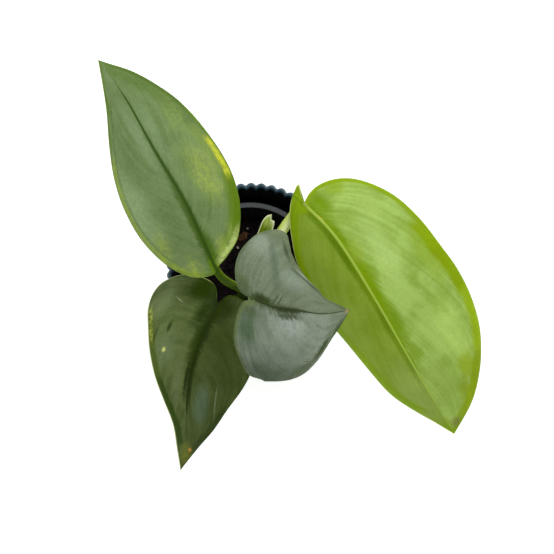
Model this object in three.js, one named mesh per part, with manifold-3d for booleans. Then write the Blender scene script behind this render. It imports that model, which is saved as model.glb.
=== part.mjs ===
// A young scindapsus with four broad silver-green leaves, in a black nursery pot that stands
// inside a ribbed pot with a scalloped rim.
// Millimetres, +Z up. The origin is the centre of the ribbed pot's flat underside. +Y is the
// top of the picture, which looks almost straight down, and +X is its right.
import * as THREE from "three";
import { mergeVertices } from "three/addons/utils/BufferGeometryUtils.js";
import Module from "manifold-3d";

// The ribbed outer pot.
const POT_HEIGHT = 64.5;
const POT_TOP_RADIUS = 36; // over the crests of the flutes
const POT_BASE_RADIUS = 28;
const POT_FLOOR = 3;
const POT_WALL = 1.9;
const FLUTES = 49;
const FLUTE_DEPTH = 1.2;
const FLUTE_TURN = 2.6; // degrees from +X to the first crest
const RIM_ROUND = 0.8;

// The nursery pot inside it, a little off the middle.
const LINER_X = -1;
const LINER_Y = -0.5;
const LINER_BOTTOM = POT_FLOOR + 0.3;
const LINER_TOP = 56;
const LINER_WALL = 1.1;
const LINER_BASE_RADIUS = 20;
const LINER_NECK_RADIUS = 27;
const LINER_RIM_RADIUS = 29.5;
const LINER_RIM_WIDTH = 2.3;
const LINER_RIM_HEIGHT = 2.4;
const LINER_RIBS = 24;
const LINER_RIB = 0.25;
const DRAIN_HOLES = 5;
const DRAIN_RADIUS = 3.5;
const DRAIN_CIRCLE = 12;

// The soil, and the clearance that pieces standing against each other keep.
const SOIL_TOP = 43.5;
const SOIL_LUMP = 1.3;
const CLEARANCE = 0.3;

// The stem, standing in its hole in the soil.
const STEM_POINTS = [[1.5, -5, 30], [2, -6.5, 46], [3, -8.5, 60], [3, -9.5, 71]];
const STEM_RADIUS = 3;

// Leaves.
const BLADE_THICKNESS = 0.8;
const RIB_END_RADIUS = 0.6;

// Each leaf: its midrib through five points from the joint to the tip; the slope of the blade
// in degrees at the midrib and at "reach" away from it, on the left and right of somebody who
// walks to the tip; how strongly it bends down behind the joint; how far its side veins run
// forward; the two margins, flat, as [along, across] from the joint; the height of its slow
// waves; and the radius of its stalk and the stalk's line up to the joint.
const leaves = [
  {
    name: "upper_left",
    midrib: [[-13.5, -4.5, 90], [-25, 20, 97], [-37.5, 41.5, 98], [-50, 64, 92], [-63.5, 84, 80]],
    leftSlope: [8, -28],
    rightSlope: [8, -28],
    reach: 24,
    hang: 0.005,
    lag: 1.7,
    left: [
      [0, 0], [-1.4, 2], [1.2, 9], [8, 15.5], [17, 20.2], [27, 22.8], [38, 22.6], [50, 19.9],
      [64, 15], [78, 9.3], [92, 4.5], [106.5, 0],
    ],
    right: [
      [0, 0], [0.8, -2.2], [2.5, -6.5], [7, -13.5], [17, -19.3], [29, -22.2], [42, -22.8],
      [55, -21.5], [67, -18.3], [79, -13.3], [91, -8.2], [100, -3.3], [106.5, 0],
    ],
    wave: 0.7,
    girth: 1.65,
    stalk: [
      [2.8, -8.8, 60], [-1, -10.8, 67.5], [-5.6, -9.9, 75.5], [-9.5, -8.5, 82.5], [-12.4, -6.1, 86.2],
    ],
    color: 0x647e52,
  },
  {
    name: "lower_left",
    midrib: [[-13, -17, 76], [-20, -31.5, 79], [-25, -48.5, 73], [-27.5, -67, 60], [-31, -85.5, 42]],
    leftSlope: [5, -30],
    rightSlope: [5, -30],
    reach: 24,
    hang: 0.01,
    lag: 1.7,
    left: [
      [0, 0], [-2.3, 0.3], [-4.7, 1.8], [-5, 5.5], [-3, 11], [2, 16.7], [9, 21.2], [18, 24],
      [27, 24], [35, 21.8], [45, 16.7], [56, 11.8], [66, 7], [76, 3], [84.2, 0],
    ],
    right: [
      [0, 0], [-2.7, -2.5], [-6.5, -4.2], [-9.3, -8.5], [-10.7, -16], [-9.7, -23], [-6, -28.8],
      [0, -30.5], [7, -28.4], [16, -23.8], [26, -19.6], [36.5, -15], [47, -10], [58, -5.3],
      [71, -2.6], [84.2, 0],
    ],
    wave: 0.5,
    girth: 1.65,
    stalk: [[2.2, -7.5, 50], [-3, -11, 55], [-8, -14, 64.5], [-11.3, -16, 71.4]],
    color: 0x4f6339,
  },
  {
    name: "middle",
    midrib: [[3, -20.5, 127], [10, -23, 125.5], [18, -23.5, 119], [28, -23.5, 106], [39.5, -20, 83]],
    leftSlope: [8, -28],
    rightSlope: [2, -40],
    reach: 28,
    hang: 0.03,
    lag: 3.4,
    left: [
      [0, 0], [-3.6, 0.2], [-6.1, 1.2], [-7.6, 4.4], [-7.7, 9.8], [-5.6, 16.2], [-0.6, 23.4],
      [4.5, 28.2], [10.5, 30.8], [16.4, 31.6], [19.4, 30.2], [18.6, 26.5], [17.6, 22.2],
      [19.2, 17.1], [23.2, 12.8], [30.1, 9], [35, 5.9], [46.2, 3.2], [60.4, 0],
    ],
    right: [
      [0, 0], [-2.5, -0.9], [-5, -2.4], [-7.4, -7.2], [-9, -13.7], [-9, -19.5], [-7, -24.3],
      [-3.9, -27.8], [0.3, -28.7], [5, -28.5], [10.8, -27.5], [17, -27.2], [22.6, -26.1],
      [29.1, -23.2], [35, -18.3], [42, -11], [49, -6.5], [60.4, 0],
    ],
    wave: 0.3,
    girth: 1.65,
    stalk: [[3, -9.6, 71.8], [3, -10.5, 86], [2.4, -14, 104], [1.6, -18.4, 118], [2.3, -20, 122]],
    color: 0x7b8b74,
  },
  {
    name: "right",
    midrib: [[21.5, 23.5, 80], [34, 8.5, 87], [48.5, -14, 84], [66, -41, 69], [86.5, -70, 45]],
    leftSlope: [5, -10],
    rightSlope: [-20, -75],
    reach: 32,
    hang: 0.01,
    lag: 2.4,
    left: [
      [0, 0], [-2.4, 4.3], [-3.2, 9.5], [-1.5, 15.7], [3, 21.6], [10, 25.7], [21, 29.8],
      [34, 32.7], [47, 34.3], [60, 36], [72, 36], [84, 33.7], [95, 29.5], [106, 23.5],
      [116.5, 14.5], [126.4, 0],
    ],
    right: [
      [0, 0], [-4, 1.9], [-8.8, 4.3], [-7.3, 0.3], [-4.5, -4.3], [-0.2, -9.2], [6, -15.1],
      [13, -20.9], [24, -24.8], [38, -25.8], [53, -25.5], [68, -22], [83, -19], [96, -16],
      [106, -10.8], [116, -5], [126.4, 0],
    ],
    wave: 0.6,
    girth: 2.2,
    stalk: [
      [3.2, -7.6, 54], [4.7, -1.2, 59.2], [7.8, 6.2, 65.5], [11.9, 13.1, 70.2], [16.4, 19.3, 72.5],
      [20, 23, 74.4],
    ],
    color: 0x7f9f33,
  },
];

// The young shoot: a leaf still rolled into a gutter, split at its tip.
const shoot = {
  midrib: [[0, -1.5, 47], [1.2, 4, 57], [3.1, 9.2, 65], [6.2, 14.4, 71], [8.3, 19.9, 75.5]],
  leftSlope: [10, 100],
  rightSlope: [10, 95],
  reach: 5,
  hang: 0.01,
  lag: 1.7,
  left: [
    [0, 0], [1, 1.6], [7, 3], [15, 4.2], [22, 5], [27, 5.4], [31, 4.9], [34.2, 3.5], [36.4, 1.6],
    [37.2, 0],
  ],
  right: [
    [0, 0], [1, -1.6], [7, -2.8], [15, -3.2], [22, -3.2], [27, -3.1], [31.5, -3], [35, -2.4],
    [35, -0.6], [36, -0.3], [37.2, 0],
  ],
  wave: 0,
  color: 0x8aa04a,
};

const TURN = 2 * Math.PI;
const radians = (degrees) => (degrees * Math.PI) / 180;
const wasm = await Module();
wasm.setup();

// A smooth line through points of any dimension, read at t from 0 to 1.
function through(points, t) {
  const last = points.length - 1;
  const place = Math.min(Math.max(t, 0), 1) * last;
  const i = Math.min(Math.floor(place), last - 1);
  const f = place - i;
  const before = (k) => 2 * points[0][k] - points[1][k];
  const after = (k) => 2 * points[last][k] - points[last - 1][k];
  return points[0].map((_, k) => {
    const a = i > 0 ? points[i - 1][k] : before(k);
    const b = points[i][k];
    const c = points[i + 1][k];
    const d = i + 2 <= last ? points[i + 2][k] : after(k);
    return (
      0.5 *
      (2 * b + (c - a) * f + (2 * a - 5 * b + 4 * c - d) * f * f + (3 * b - a - 3 * c + d) * f ** 3)
    );
  });
}

// The midrib as a measured line, with the level direction that its cross-sections lie along.
function measured(points, steps = 300) {
  const line = [];
  let length = 0;
  for (let i = 0; i <= steps; i++) {
    const at = new THREE.Vector3(...through(points, i / steps));
    if (i > 0) length += at.distanceTo(line[i - 1].at);
    line.push({ at, length });
  }
  line.forEach((station, i) => {
    const ahead = line[Math.min(i + steps / 12, steps)].at;
    const behind = line[Math.max(i - steps / 12, 0)].at;
    station.along = ahead.clone().sub(behind).normalize();
  });
  const chord = line[steps].at.clone().sub(line[0].at);
  const side = new THREE.Vector3(0, 0, 1).cross(chord).normalize();
  return { line, length, side };
}

// Place and axes of the blade at a length along its midrib. Behind the joint it bends down.
function station({ line, length, side }, along, hang = 0.01) {
  const wanted = Math.min(Math.max(along, 0), length);
  let i = 1;
  while (i < line.length - 1 && line[i].length < wanted) i++;
  const [a, b] = [line[i - 1], line[i]];
  const f = (wanted - a.length) / (b.length - a.length);
  const tangent = a.along.clone().lerp(b.along, f).normalize();
  const level = tangent.clone().cross(side).normalize();
  const turn = hang * Math.min(along, 0);
  const at = a.at
    .clone()
    .lerp(b.at, f)
    .addScaledVector(tangent, Math.sin(turn) / hang)
    .addScaledVector(level, (Math.cos(turn) - 1) / hang);
  const up = level.multiplyScalar(Math.cos(turn)).addScaledVector(tangent, Math.sin(turn));
  return { at, side, up };
}

// A point of the bent blade from its flat place: along the midrib and across to the left. The
// hand is 1 in its left half and -1 in its right half, which may reach past the midrib's line.
function bladePoint(leaf, rib, along, across, hand) {
  const { at, side, up } = station(rib, along, leaf.hang);
  const distance = across * hand;
  const [inner, outer] = (hand > 0 ? leaf.leftSlope : leaf.rightSlope).map(radians);
  const bend = (outer - inner) / leaf.reach;
  const end = inner + bend * distance;
  const outwards = (Math.sin(end) - Math.sin(inner)) / bend;
  let upwards = -(Math.cos(end) - Math.cos(inner)) / bend;
  const edge = Math.min(Math.abs(distance) / leaf.reach, 1);
  upwards += leaf.wave * edge * edge * Math.sin(along / 7.5 + 2 * hand);
  return at.addScaledVector(side, hand * outwards).addScaledVector(up, upwards);
}

// A closed mesh from its corners and its triangles, three corner numbers each.
function meshGeometry(corners, triangles) {
  const geometry = new THREE.BufferGeometry().setFromPoints(corners);
  geometry.setIndex(triangles);
  geometry.computeVertexNormals();
  return geometry;
}

// The blade as a closed solid. Its rows follow the side veins; both faces are split alike.
function bladeGeometry(leaf, thickness, rows = 26, perSide = 4) {
  const rib = measured(leaf.midrib);
  const columns = 2 * perSide;
  const middle = [];
  for (let i = 0; i <= rows; i++) {
    const v = i / rows;
    const from = rib.length * v ** leaf.lag;
    middle.push([]);
    for (let j = 0; j <= columns; j++) {
      const u = j / perSide - 1;
      const [along, across] = through(u < 0 ? leaf.right : leaf.left, v);
      const share = Math.abs(u);
      const flat = [from + (along - from) * share, across * share];
      if (i === 0) flat.fill(0);
      if (i === rows) flat.splice(0, 2, rib.length, 0);
      middle[i].push(bladePoint(leaf, rib, ...flat, u < 0 ? -1 : 1));
    }
  }
  const normalAt = (i, j) => {
    if (i === 0) return station(rib, 0).up;
    if (i === rows) return station(rib, rib.length).up;
    const right = middle[i][Math.max(j - 1, 0)];
    const left = middle[i][Math.min(j + 1, columns)];
    const forward = middle[i + 1][j].clone().sub(middle[i - 1][j]);
    return forward.cross(left.clone().sub(right)).normalize();
  };
  const corners = [];
  const numbers = middle.map((row, i) =>
    row.map((point, j) => {
      if ((i === 0 || i === rows) && j > 0) return null;
      const shift = normalAt(i, j).multiplyScalar(thickness / 2);
      corners.push(point.clone().add(shift), point.clone().sub(shift));
      return corners.length - 2;
    }),
  );
  const number = (i, j) => numbers[i][i === 0 || i === rows ? 0 : j];
  const triangles = [];
  const both = (a, b, c) => triangles.push(a, b, c, a + 1, c + 1, b + 1);
  for (let i = 0; i < rows; i++) {
    for (let j = 0; j < columns; j++) {
      const [a, b, c, d] = [number(i, j), number(i + 1, j), number(i + 1, j + 1), number(i, j + 1)];
      if (a !== d) both(a, b, d);
      if (b !== c) both(b, c, d);
    }
    for (const j of [0, columns]) {
      const [a, b] = j === 0 ? [number(i, j), number(i + 1, j)] : [number(i + 1, j), number(i, j)];
      triangles.push(a, a + 1, b + 1, a, b + 1, b);
    }
  }
  return meshGeometry(corners, triangles);
}

// A closed skin over rings of points, each end drawn together in a middle point.
function loft(rings, start, end) {
  const count = rings[0].length;
  const corners = [start, ...rings.flat(), end];
  const triangles = [];
  for (let j = 0; j < count; j++) {
    const next = (j + 1) % count;
    triangles.push(0, 1 + next, 1 + j);
    for (let i = 0; i < rings.length - 1; i++) {
      const low = 1 + i * count;
      const high = low + count;
      triangles.push(low + j, low + next, high + next, low + j, high + next, high + j);
    }
    const top = 1 + (rings.length - 1) * count;
    triangles.push(corners.length - 1, top + j, top + next);
  }
  return meshGeometry(corners, triangles);
}

// A round body about an upright axis: each ring is [radius, height, use of the flutes].
function turned(profile, segments, fluteAt = () => 0) {
  const rings = profile.map(([radius, z, fluted = 0]) =>
    Array.from({ length: segments }, (_, j) => {
      const angle = (j / segments) * TURN;
      const r = radius + fluted * fluteAt(angle, j);
      return new THREE.Vector3(r * Math.cos(angle), r * Math.sin(angle), z);
    }),
  );
  const middle = (ring) => new THREE.Vector3(0, 0, ring[1]);
  return loft(rings, middle(profile[0]), middle(profile[profile.length - 1]));
}

// A round stalk along a line, with its radius read along it, closed at both ends.
function stalkGeometry(points, radiusAt, steps = 26, sides = 10) {
  const rings = [];
  let across = new THREE.Vector3(1, 0, 0);
  for (let i = 0; i <= steps; i++) {
    const t = i / steps;
    const at = new THREE.Vector3(...through(points, t));
    const ahead = new THREE.Vector3(...through(points, Math.min(t + 0.01, 1)));
    const behind = new THREE.Vector3(...through(points, Math.max(t - 0.01, 0)));
    const along = ahead.sub(behind).normalize();
    across = across.clone().addScaledVector(along, -across.dot(along)).normalize();
    const other = along.clone().cross(across);
    const radius = radiusAt(t);
    rings.push(
      Array.from({ length: sides }, (_, j) => {
        const angle = (j / sides) * TURN;
        return at
          .clone()
          .addScaledVector(across, radius * Math.cos(angle))
          .addScaledVector(other, radius * Math.sin(angle));
      }),
    );
  }
  const middle = (ring) =>
    ring.reduce((sum, p) => sum.add(p), new THREE.Vector3()).divideScalar(sides);
  return loft(rings, middle(rings[0]), middle(rings[steps]));
}

function solid(geometry) {
  const bare = geometry.clone();
  bare.deleteAttribute("normal");
  bare.deleteAttribute("uv");
  const merged = mergeVertices(bare, 1e-4);
  return new wasm.Manifold(
    new wasm.Mesh({
      numProp: 3,
      vertProperties: merged.attributes.position.array,
      triVerts: new Uint32Array(merged.index.array),
    }),
  );
}

function geometryOf(body) {
  const { vertProperties, triVerts } = body.getMesh();
  const geometry = new THREE.BufferGeometry();
  geometry.setAttribute("position", new THREE.BufferAttribute(vertProperties, 3));
  geometry.setIndex(new THREE.BufferAttribute(triVerts, 1));
  geometry.computeVertexNormals();
  return geometry;
}

const plant = new THREE.Group();
function addPiece(name, geometry, color, roughness) {
  const material = new THREE.MeshStandardMaterial({ color, roughness, metalness: 0 });
  const mesh = new THREE.Mesh(geometry, material);
  mesh.name = name;
  plant.add(mesh);
  return mesh;
}

// Outer pot. Its flutes are round crests with sharp valleys, on both faces of the wall.
const crest = (angle) => (Math.abs(Math.cos((FLUTES * angle) / 2)) - 1) * FLUTE_DEPTH;
const innerBase = POT_BASE_RADIUS - POT_WALL;
const innerTop = POT_TOP_RADIUS - POT_WALL;
const floorShare = POT_FLOOR / POT_HEIGHT;
addPiece(
  "outer_pot",
  turned(
    [
      [POT_BASE_RADIUS, 0, 1],
      [POT_TOP_RADIUS, POT_HEIGHT - RIM_ROUND, 1],
      [POT_TOP_RADIUS - 0.5, POT_HEIGHT, 1],
      [innerTop + 0.5, POT_HEIGHT, 1],
      [innerTop, POT_HEIGHT - RIM_ROUND, 1],
      [innerBase + floorShare * (innerTop - innerBase), POT_FLOOR, 1],
    ],
    FLUTES * 4,
    crest,
  ).rotateZ(radians(FLUTE_TURN)),
  0x40565f,
  0.3,
);

// Nursery pot: a tapered cup with a flat rolled rim, thin ribs inside and holes in its floor.
const neckTop = LINER_TOP - LINER_RIM_HEIGHT;
const rimInner = LINER_RIM_RADIUS - LINER_RIM_WIDTH;
const rib = (angle, j) => (j % 4 === 0 ? -LINER_RIB : 0);
let liner = solid(
  turned(
    [
      [LINER_BASE_RADIUS, LINER_BOTTOM],
      [LINER_NECK_RADIUS, neckTop],
      [LINER_RIM_RADIUS, neckTop + 0.6],
      [LINER_RIM_RADIUS, LINER_TOP - 0.5],
      [LINER_RIM_RADIUS - 0.5, LINER_TOP],
      [rimInner + 0.4, LINER_TOP],
      [rimInner, LINER_TOP - 0.4],
      [LINER_NECK_RADIUS - LINER_WALL, neckTop - 0.6, 1],
      [LINER_BASE_RADIUS - LINER_WALL, LINER_BOTTOM + 1.5, 1],
    ],
    LINER_RIBS * 4,
    rib,
  ),
);
for (let i = 0; i < DRAIN_HOLES; i++) {
  const angle = (i / DRAIN_HOLES) * TURN;
  const hole = new THREE.CylinderGeometry(DRAIN_RADIUS, DRAIN_RADIUS, 6, 16).rotateX(Math.PI / 2);
  hole.translate(DRAIN_CIRCLE * Math.cos(angle), DRAIN_CIRCLE * Math.sin(angle), LINER_BOTTOM);
  liner = liner.subtract(solid(hole));
}
const linerMesh = addPiece("nursery_pot", geometryOf(liner), 0x2a2b2d, 0.55);
linerMesh.position.set(LINER_X, LINER_Y, 0);

// Stem: joints every few millimetres swell it a little.
const stemRadius = (t) => STEM_RADIUS * (1 + 0.07 * Math.cos(t * 5 * TURN)) * (1 - 0.12 * t);
addPiece("stem", stalkGeometry(STEM_POINTS, stemRadius, 20, 12), 0x5d6f38, 0.5);
const longerStem = STEM_POINTS.map(([x, y, z], i, all) => [
  x, y, z + CLEARANCE * (i === 0 ? -1 : i === all.length - 1 ? 1 : 0),
]);
const stemSpace = solid(stalkGeometry(longerStem, (t) => stemRadius(t) + CLEARANCE, 20, 12));

// Soil: fills the nursery pot up to a lumpy surface, with a hole for the stem. The lumps come
// from slow waves that cross each other and from a seeded shake.
let seed = 7;
const shake = () => {
  seed = (seed * 16807) % 2147483647;
  return seed / 2147483647 - 0.5;
};
const lump = (x, y) =>
  SOIL_LUMP * (0.5 * Math.sin(x / 2.9 + 1) * Math.cos(y / 3.3) + 0.35 * Math.sin((x + y) / 4.7));
const wallSlope = (LINER_NECK_RADIUS - LINER_BASE_RADIUS) / (neckTop - 0.6 - LINER_BOTTOM - 1.5);
const soilBottom = LINER_BOTTOM + 1.5 + CLEARANCE;
const soilRadius = (z) =>
  LINER_BASE_RADIUS - LINER_WALL - LINER_RIB - 0.45 + (z - soilBottom) * wallSlope;
const soilSides = 44;
const soilRings = [
  [soilRadius(soilBottom), soilBottom],
  [soilRadius(SOIL_TOP - 2), SOIL_TOP - 2],
  ...[0.97, 0.84, 0.7, 0.56, 0.42, 0.28, 0.14].map((share) => [
    share * soilRadius(SOIL_TOP), SOIL_TOP, 1,
  ]),
].map(([radius, z, lumpy = 0]) =>
  Array.from({ length: soilSides }, (_, j) => {
    const angle = (j / soilSides) * TURN;
    const [x, y] = [radius * Math.cos(angle), radius * Math.sin(angle)];
    return new THREE.Vector3(x, y, z + lumpy * (lump(x, y) + shake() * SOIL_LUMP * 0.8));
  }),
);
const soilStart = new THREE.Vector3(0, 0, soilBottom);
const soilEnd = new THREE.Vector3(0, 0, SOIL_TOP + lump(0, 0));
const soilBody = solid(loft(soilRings, soilStart, soilEnd).translate(LINER_X, LINER_Y, 0));
addPiece("soil", geometryOf(soilBody.subtract(stemSpace)), 0x120d10, 0.95);

// Leaves: each blade, and its stalk, which runs on under the blade as the raised midrib. A
// stalk is cut back from the stem and from the blade over it.
for (const leaf of leaves) {
  addPiece(`blade_${leaf.name}`, bladeGeometry(leaf, BLADE_THICKNESS), leaf.color, 0.5);
  const rib = measured(leaf.midrib);
  const under = (along, radius) => {
    const { at, up } = station(rib, along);
    const drop = BLADE_THICKNESS / 2 + CLEARANCE + radius + 0.1;
    return at.addScaledVector(up, -drop).toArray();
  };
  const ribEnd = rib.length * 0.4;
  const points = [
    ...leaf.stalk,
    under(3, leaf.girth * 0.9),
    under(ribEnd * 0.4, leaf.girth * 0.75),
    under(ribEnd * 0.7, RIB_END_RADIUS * 1.6),
    under(ribEnd, RIB_END_RADIUS),
  ];
  const joint = leaf.stalk.length / (points.length - 1);
  const radiusAt = (t) =>
    t < joint
      ? leaf.girth * (1.15 - (0.2 * t) / joint)
      : RIB_END_RADIUS + (leaf.girth * 0.95 - RIB_END_RADIUS) * (1 - (t - joint) / (1 - joint));
  const keepOut = solid(bladeGeometry(leaf, BLADE_THICKNESS + 2 * CLEARANCE));
  const stalk = solid(stalkGeometry(points, radiusAt, 42, 8))
    .subtract(keepOut)
    .subtract(stemSpace);
  addPiece(`stalk_${leaf.name}`, geometryOf(stalk), 0x6f8a3c, 0.5);
}

// The rolled young shoot beside the stem.
const shootBody = solid(bladeGeometry(shoot, BLADE_THICKNESS, 18, 3)).subtract(stemSpace);
addPiece("new_shoot", geometryOf(shootBody), shoot.color, 0.5);

export default plant;
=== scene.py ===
# %% [markdown]
# A potted scindapsus.
# The plant has four broad leaves on slim stalks and stands in a black nursery pot inside a ribbed pot.
# A measured model of it comes first: it fixes where every piece is and how big it is.
# The cells below replace its plain solids with finer meshes and give each one a finish.

# %% Load the measured model
import math
import random

import bmesh
import bpy
import numpy as np
from mathutils import Matrix, Vector, kdtree, noise


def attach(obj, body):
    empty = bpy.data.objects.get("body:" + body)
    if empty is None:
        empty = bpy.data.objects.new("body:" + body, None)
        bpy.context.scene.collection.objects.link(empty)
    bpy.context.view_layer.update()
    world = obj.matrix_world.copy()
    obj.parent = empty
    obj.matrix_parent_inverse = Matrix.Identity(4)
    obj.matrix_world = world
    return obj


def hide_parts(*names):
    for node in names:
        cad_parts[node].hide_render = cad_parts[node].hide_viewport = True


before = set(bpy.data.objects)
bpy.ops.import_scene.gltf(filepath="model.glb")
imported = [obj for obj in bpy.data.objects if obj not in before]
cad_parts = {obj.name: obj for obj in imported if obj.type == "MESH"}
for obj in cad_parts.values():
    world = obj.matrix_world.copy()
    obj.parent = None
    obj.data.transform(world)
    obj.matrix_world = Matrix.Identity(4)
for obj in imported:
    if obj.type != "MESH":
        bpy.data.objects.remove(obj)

MM = 0.001
TURN = 2 * math.pi
WHITE = (1, 1, 1, 1)
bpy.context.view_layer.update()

# %% [markdown]
# The camera looks almost straight down on the leaves, as one sees a small plant on a low table.
# A lens can be guessed by eye, but here its length follows from two sizes that are easier to judge:
# how far away the plant is, and how many millimetres the square picture spans at that distance.

# %% Camera
CAMERA_TARGET = Vector((10.5, -4.2, 62)) * MM
CAMERA_DISTANCE = 430 * MM
CAMERA_ELEVATION = math.radians(83)
PICTURE_SPAN = 233 * MM
SENSOR = 36
NEAREST = 10 * MM

camera_data = bpy.data.cameras.new("camera")
camera_data.sensor_width = SENSOR
camera_data.lens = SENSOR * CAMERA_DISTANCE / PICTURE_SPAN
camera_data.clip_start = NEAREST
camera = bpy.data.objects.new("camera", camera_data)
bpy.context.scene.collection.objects.link(camera)
towards_plant = Vector((0, math.cos(CAMERA_ELEVATION), -math.sin(CAMERA_ELEVATION)))
camera.location = CAMERA_TARGET - CAMERA_DISTANCE * towards_plant
camera.rotation_euler = (math.pi / 2 - CAMERA_ELEVATION, 0, 0)
bpy.context.scene.camera = camera
print("lens:", round(camera_data.lens, 2), "mm")

# %% [markdown]
# Soft studio light comes from all sides, with two broad lamps, one a little stronger than the other.
# Small lamps would give hard spots on the waxy leaves. Wide area lamps give them a gentle sheen.
# The plain display transform keeps the colours of the leaves as they are mixed.

# %% Light
AIR_STRENGTH = 0.66
LAMPS = {
    "broad lamp": {"place": (0.45, 0.6, 0.95), "size": 0.6, "power": 6},
    "second lamp": {"place": (-0.8, 0.2, 0.75), "size": 0.9, "power": 2.2},
}


def soft_lamp(name, place, size, power):
    """A square area lamp that faces the plant."""
    data = bpy.data.lights.new(name, "AREA")
    data.size = size
    data.energy = power
    lamp = bpy.data.objects.new(name, data)
    lamp.location = place
    lamp.rotation_euler = (CAMERA_TARGET - Vector(place)).to_track_quat("-Z", "Y").to_euler()
    bpy.context.scene.collection.objects.link(lamp)


bpy.context.scene.view_settings.view_transform = "Standard"
world = bpy.data.worlds.new("studio air")
world.use_nodes = True
air = world.node_tree.nodes["Background"].inputs
air["Color"].default_value = WHITE
air["Strength"].default_value = AIR_STRENGTH
bpy.context.scene.world = world
for name, lamp in LAMPS.items():
    soft_lamp(name, **lamp)

# %% [markdown]
# A finish in Blender is a small network of nodes.
# Wiring them one by one takes several lines for a node, so one helper adds a node, sets it and joins it.
# A value may be a plain number, a colour or the output of another node: the helper takes them all.

# %% Helpers for finishes


def paint(red, green, blue):
    """A screen colour from 0 to 255 as the linear colour that shaders use, by the sRGB formula."""

    def linear(value):
        share = value / 255
        return share / 12.92 if share <= 0.04045 else ((share + 0.055) / 1.055) ** 2.4

    return (linear(red), linear(green), linear(blue), 1.0)


class Wiring:
    """Adds nodes to one tree and joins them."""

    def __init__(self, tree):
        self.tree = tree

    def node(self, kind, inputs=None, **settings):
        made = self.tree.nodes.new(kind)
        for key, value in settings.items():
            setattr(made, key, value)
        for key, value in (inputs or {}).items():
            self.feed(made.inputs[key], value)
        return made

    def feed(self, socket, value):
        if isinstance(value, bpy.types.NodeSocket):
            self.tree.links.new(value, socket)
        else:
            socket.default_value = value

    def math(self, operation, a, b=0.0):
        return self.node("ShaderNodeMath", {0: a, 1: b}, operation=operation).outputs[0]

    def times(self, a, b):
        return self.math("MULTIPLY", a, b)

    def plus(self, a, b):
        return self.math("ADD", a, b)

    def minus(self, a, b):
        return self.math("SUBTRACT", a, b)

    def smooth(self, value, low, high):
        """Rises from 0 at low to 1 at high, eased at both ends."""
        inputs = {"Value": value, "From Min": low, "From Max": high}
        return self.node("ShaderNodeMapRange", inputs, interpolation_type="SMOOTHSTEP").outputs[0]

    def ramp(self, value, low, high):
        """Rises evenly from 0 at low to 1 at high."""
        return self.node("ShaderNodeMapRange", {"Value": value, "From Min": low, "From Max": high}).outputs[0]

    def scale(self, colour, factor):
        """A colour made lighter or darker by a factor."""
        return self.node("ShaderNodeVectorMath", {0: colour, "Scale": factor}, operation="SCALE").outputs[0]

    def mix(self, share, a, b):
        """Colour a where share is 0 and colour b where it is 1."""
        return self.node("ShaderNodeMix", {0: share, 6: a, 7: b}, data_type="RGBA").outputs[2]

    def split(self, vector):
        return self.node("ShaderNodeSeparateXYZ", {0: vector}).outputs

    def join(self, x, y, z):
        return self.node("ShaderNodeCombineXYZ", {0: x, 1: y, 2: z}).outputs[0]

    def noise(self, vector, scale=1.0, detail=2.0, roughness=0.5):
        inputs = {"Vector": vector, "Scale": scale, "Detail": detail, "Roughness": roughness}
        return self.node("ShaderNodeTexNoise", inputs).outputs[0]

    def attribute(self, name):
        return self.node("ShaderNodeAttribute", attribute_name=name).outputs["Vector"]

    def object_place(self):
        return self.node("ShaderNodeTexCoord").outputs["Object"]

    def group(self, title, inputs):
        made = self.node("ShaderNodeGroup", node_tree=bpy.data.node_groups[title])
        for key, value in inputs.items():
            self.feed(made.inputs[key], value)
        return made.outputs


SOCKETS = {"colour": "NodeSocketColor", "number": "NodeSocketFloat", "vector": "NodeSocketVector"}


def new_group(title, inputs, outputs):
    """A shader group with named sockets: its wiring, what it is given and what it puts out."""
    tree = bpy.data.node_groups.new(title, "ShaderNodeTree")
    for name, (kind, value) in inputs.items():
        socket = tree.interface.new_socket(name, in_out="INPUT", socket_type=SOCKETS[kind])
        if kind != "vector":
            socket.default_value = value
    for name, kind in outputs.items():
        tree.interface.new_socket(name, in_out="OUTPUT", socket_type=SOCKETS[kind])
    wires = Wiring(tree)
    return wires, wires.node("NodeGroupInput").outputs, wires.node("NodeGroupOutput").inputs


def new_finish(name):
    """An empty material with its Principled shader, ready to be wired."""
    material = bpy.data.materials.new(name)
    material.use_nodes = True
    return material, Wiring(material.node_tree), material.node_tree.nodes["Principled BSDF"].inputs


def midrib_distance(wires, along, across):
    """Millimetres from the midrib, which starts at the joint and doesn't run on behind it."""
    behind = wires.math("MINIMUM", along, 0.0)
    squares = wires.plus(wires.math("POWER", across, 2.0), wires.math("POWER", behind, 2.0))
    return wires.math("SQRT", squares)


def bump(wires, shader, height, strength, distance):
    """Lets a height pattern tilt the shading of a surface."""
    inputs = {"Height": height, "Strength": strength, "Distance": distance}
    wires.feed(shader["Normal"], wires.node("ShaderNodeBump", inputs).outputs[0])


print("helpers for finishes are ready")

# %% [markdown]
# Leaves share one kind of skin: green tissue, a silver haze over it, a dark feathered midrib,
# side veins as fine streaks and a greener margin.
# One node group holds all that, and each leaf places it with its own colours.
# The pattern has to follow the leaf and not the room, so it reads two attributes of the mesh:
# "place" is along, across and distance from the edge in millimetres, and "flow" numbers the veins,
# gives the share across and says which half of the blade a point is in.
# The streaks and specks come out as a separate light, so that they also cross the marks laid on later.

# %% Node group: leaf skin
FINE_VEINS = 120.0
BROAD_VEINS = 22.0
CLOUD_SCALE = 0.09
GRAIN_SCALE = 0.9
OTHER_HALF = 3.7

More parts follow.
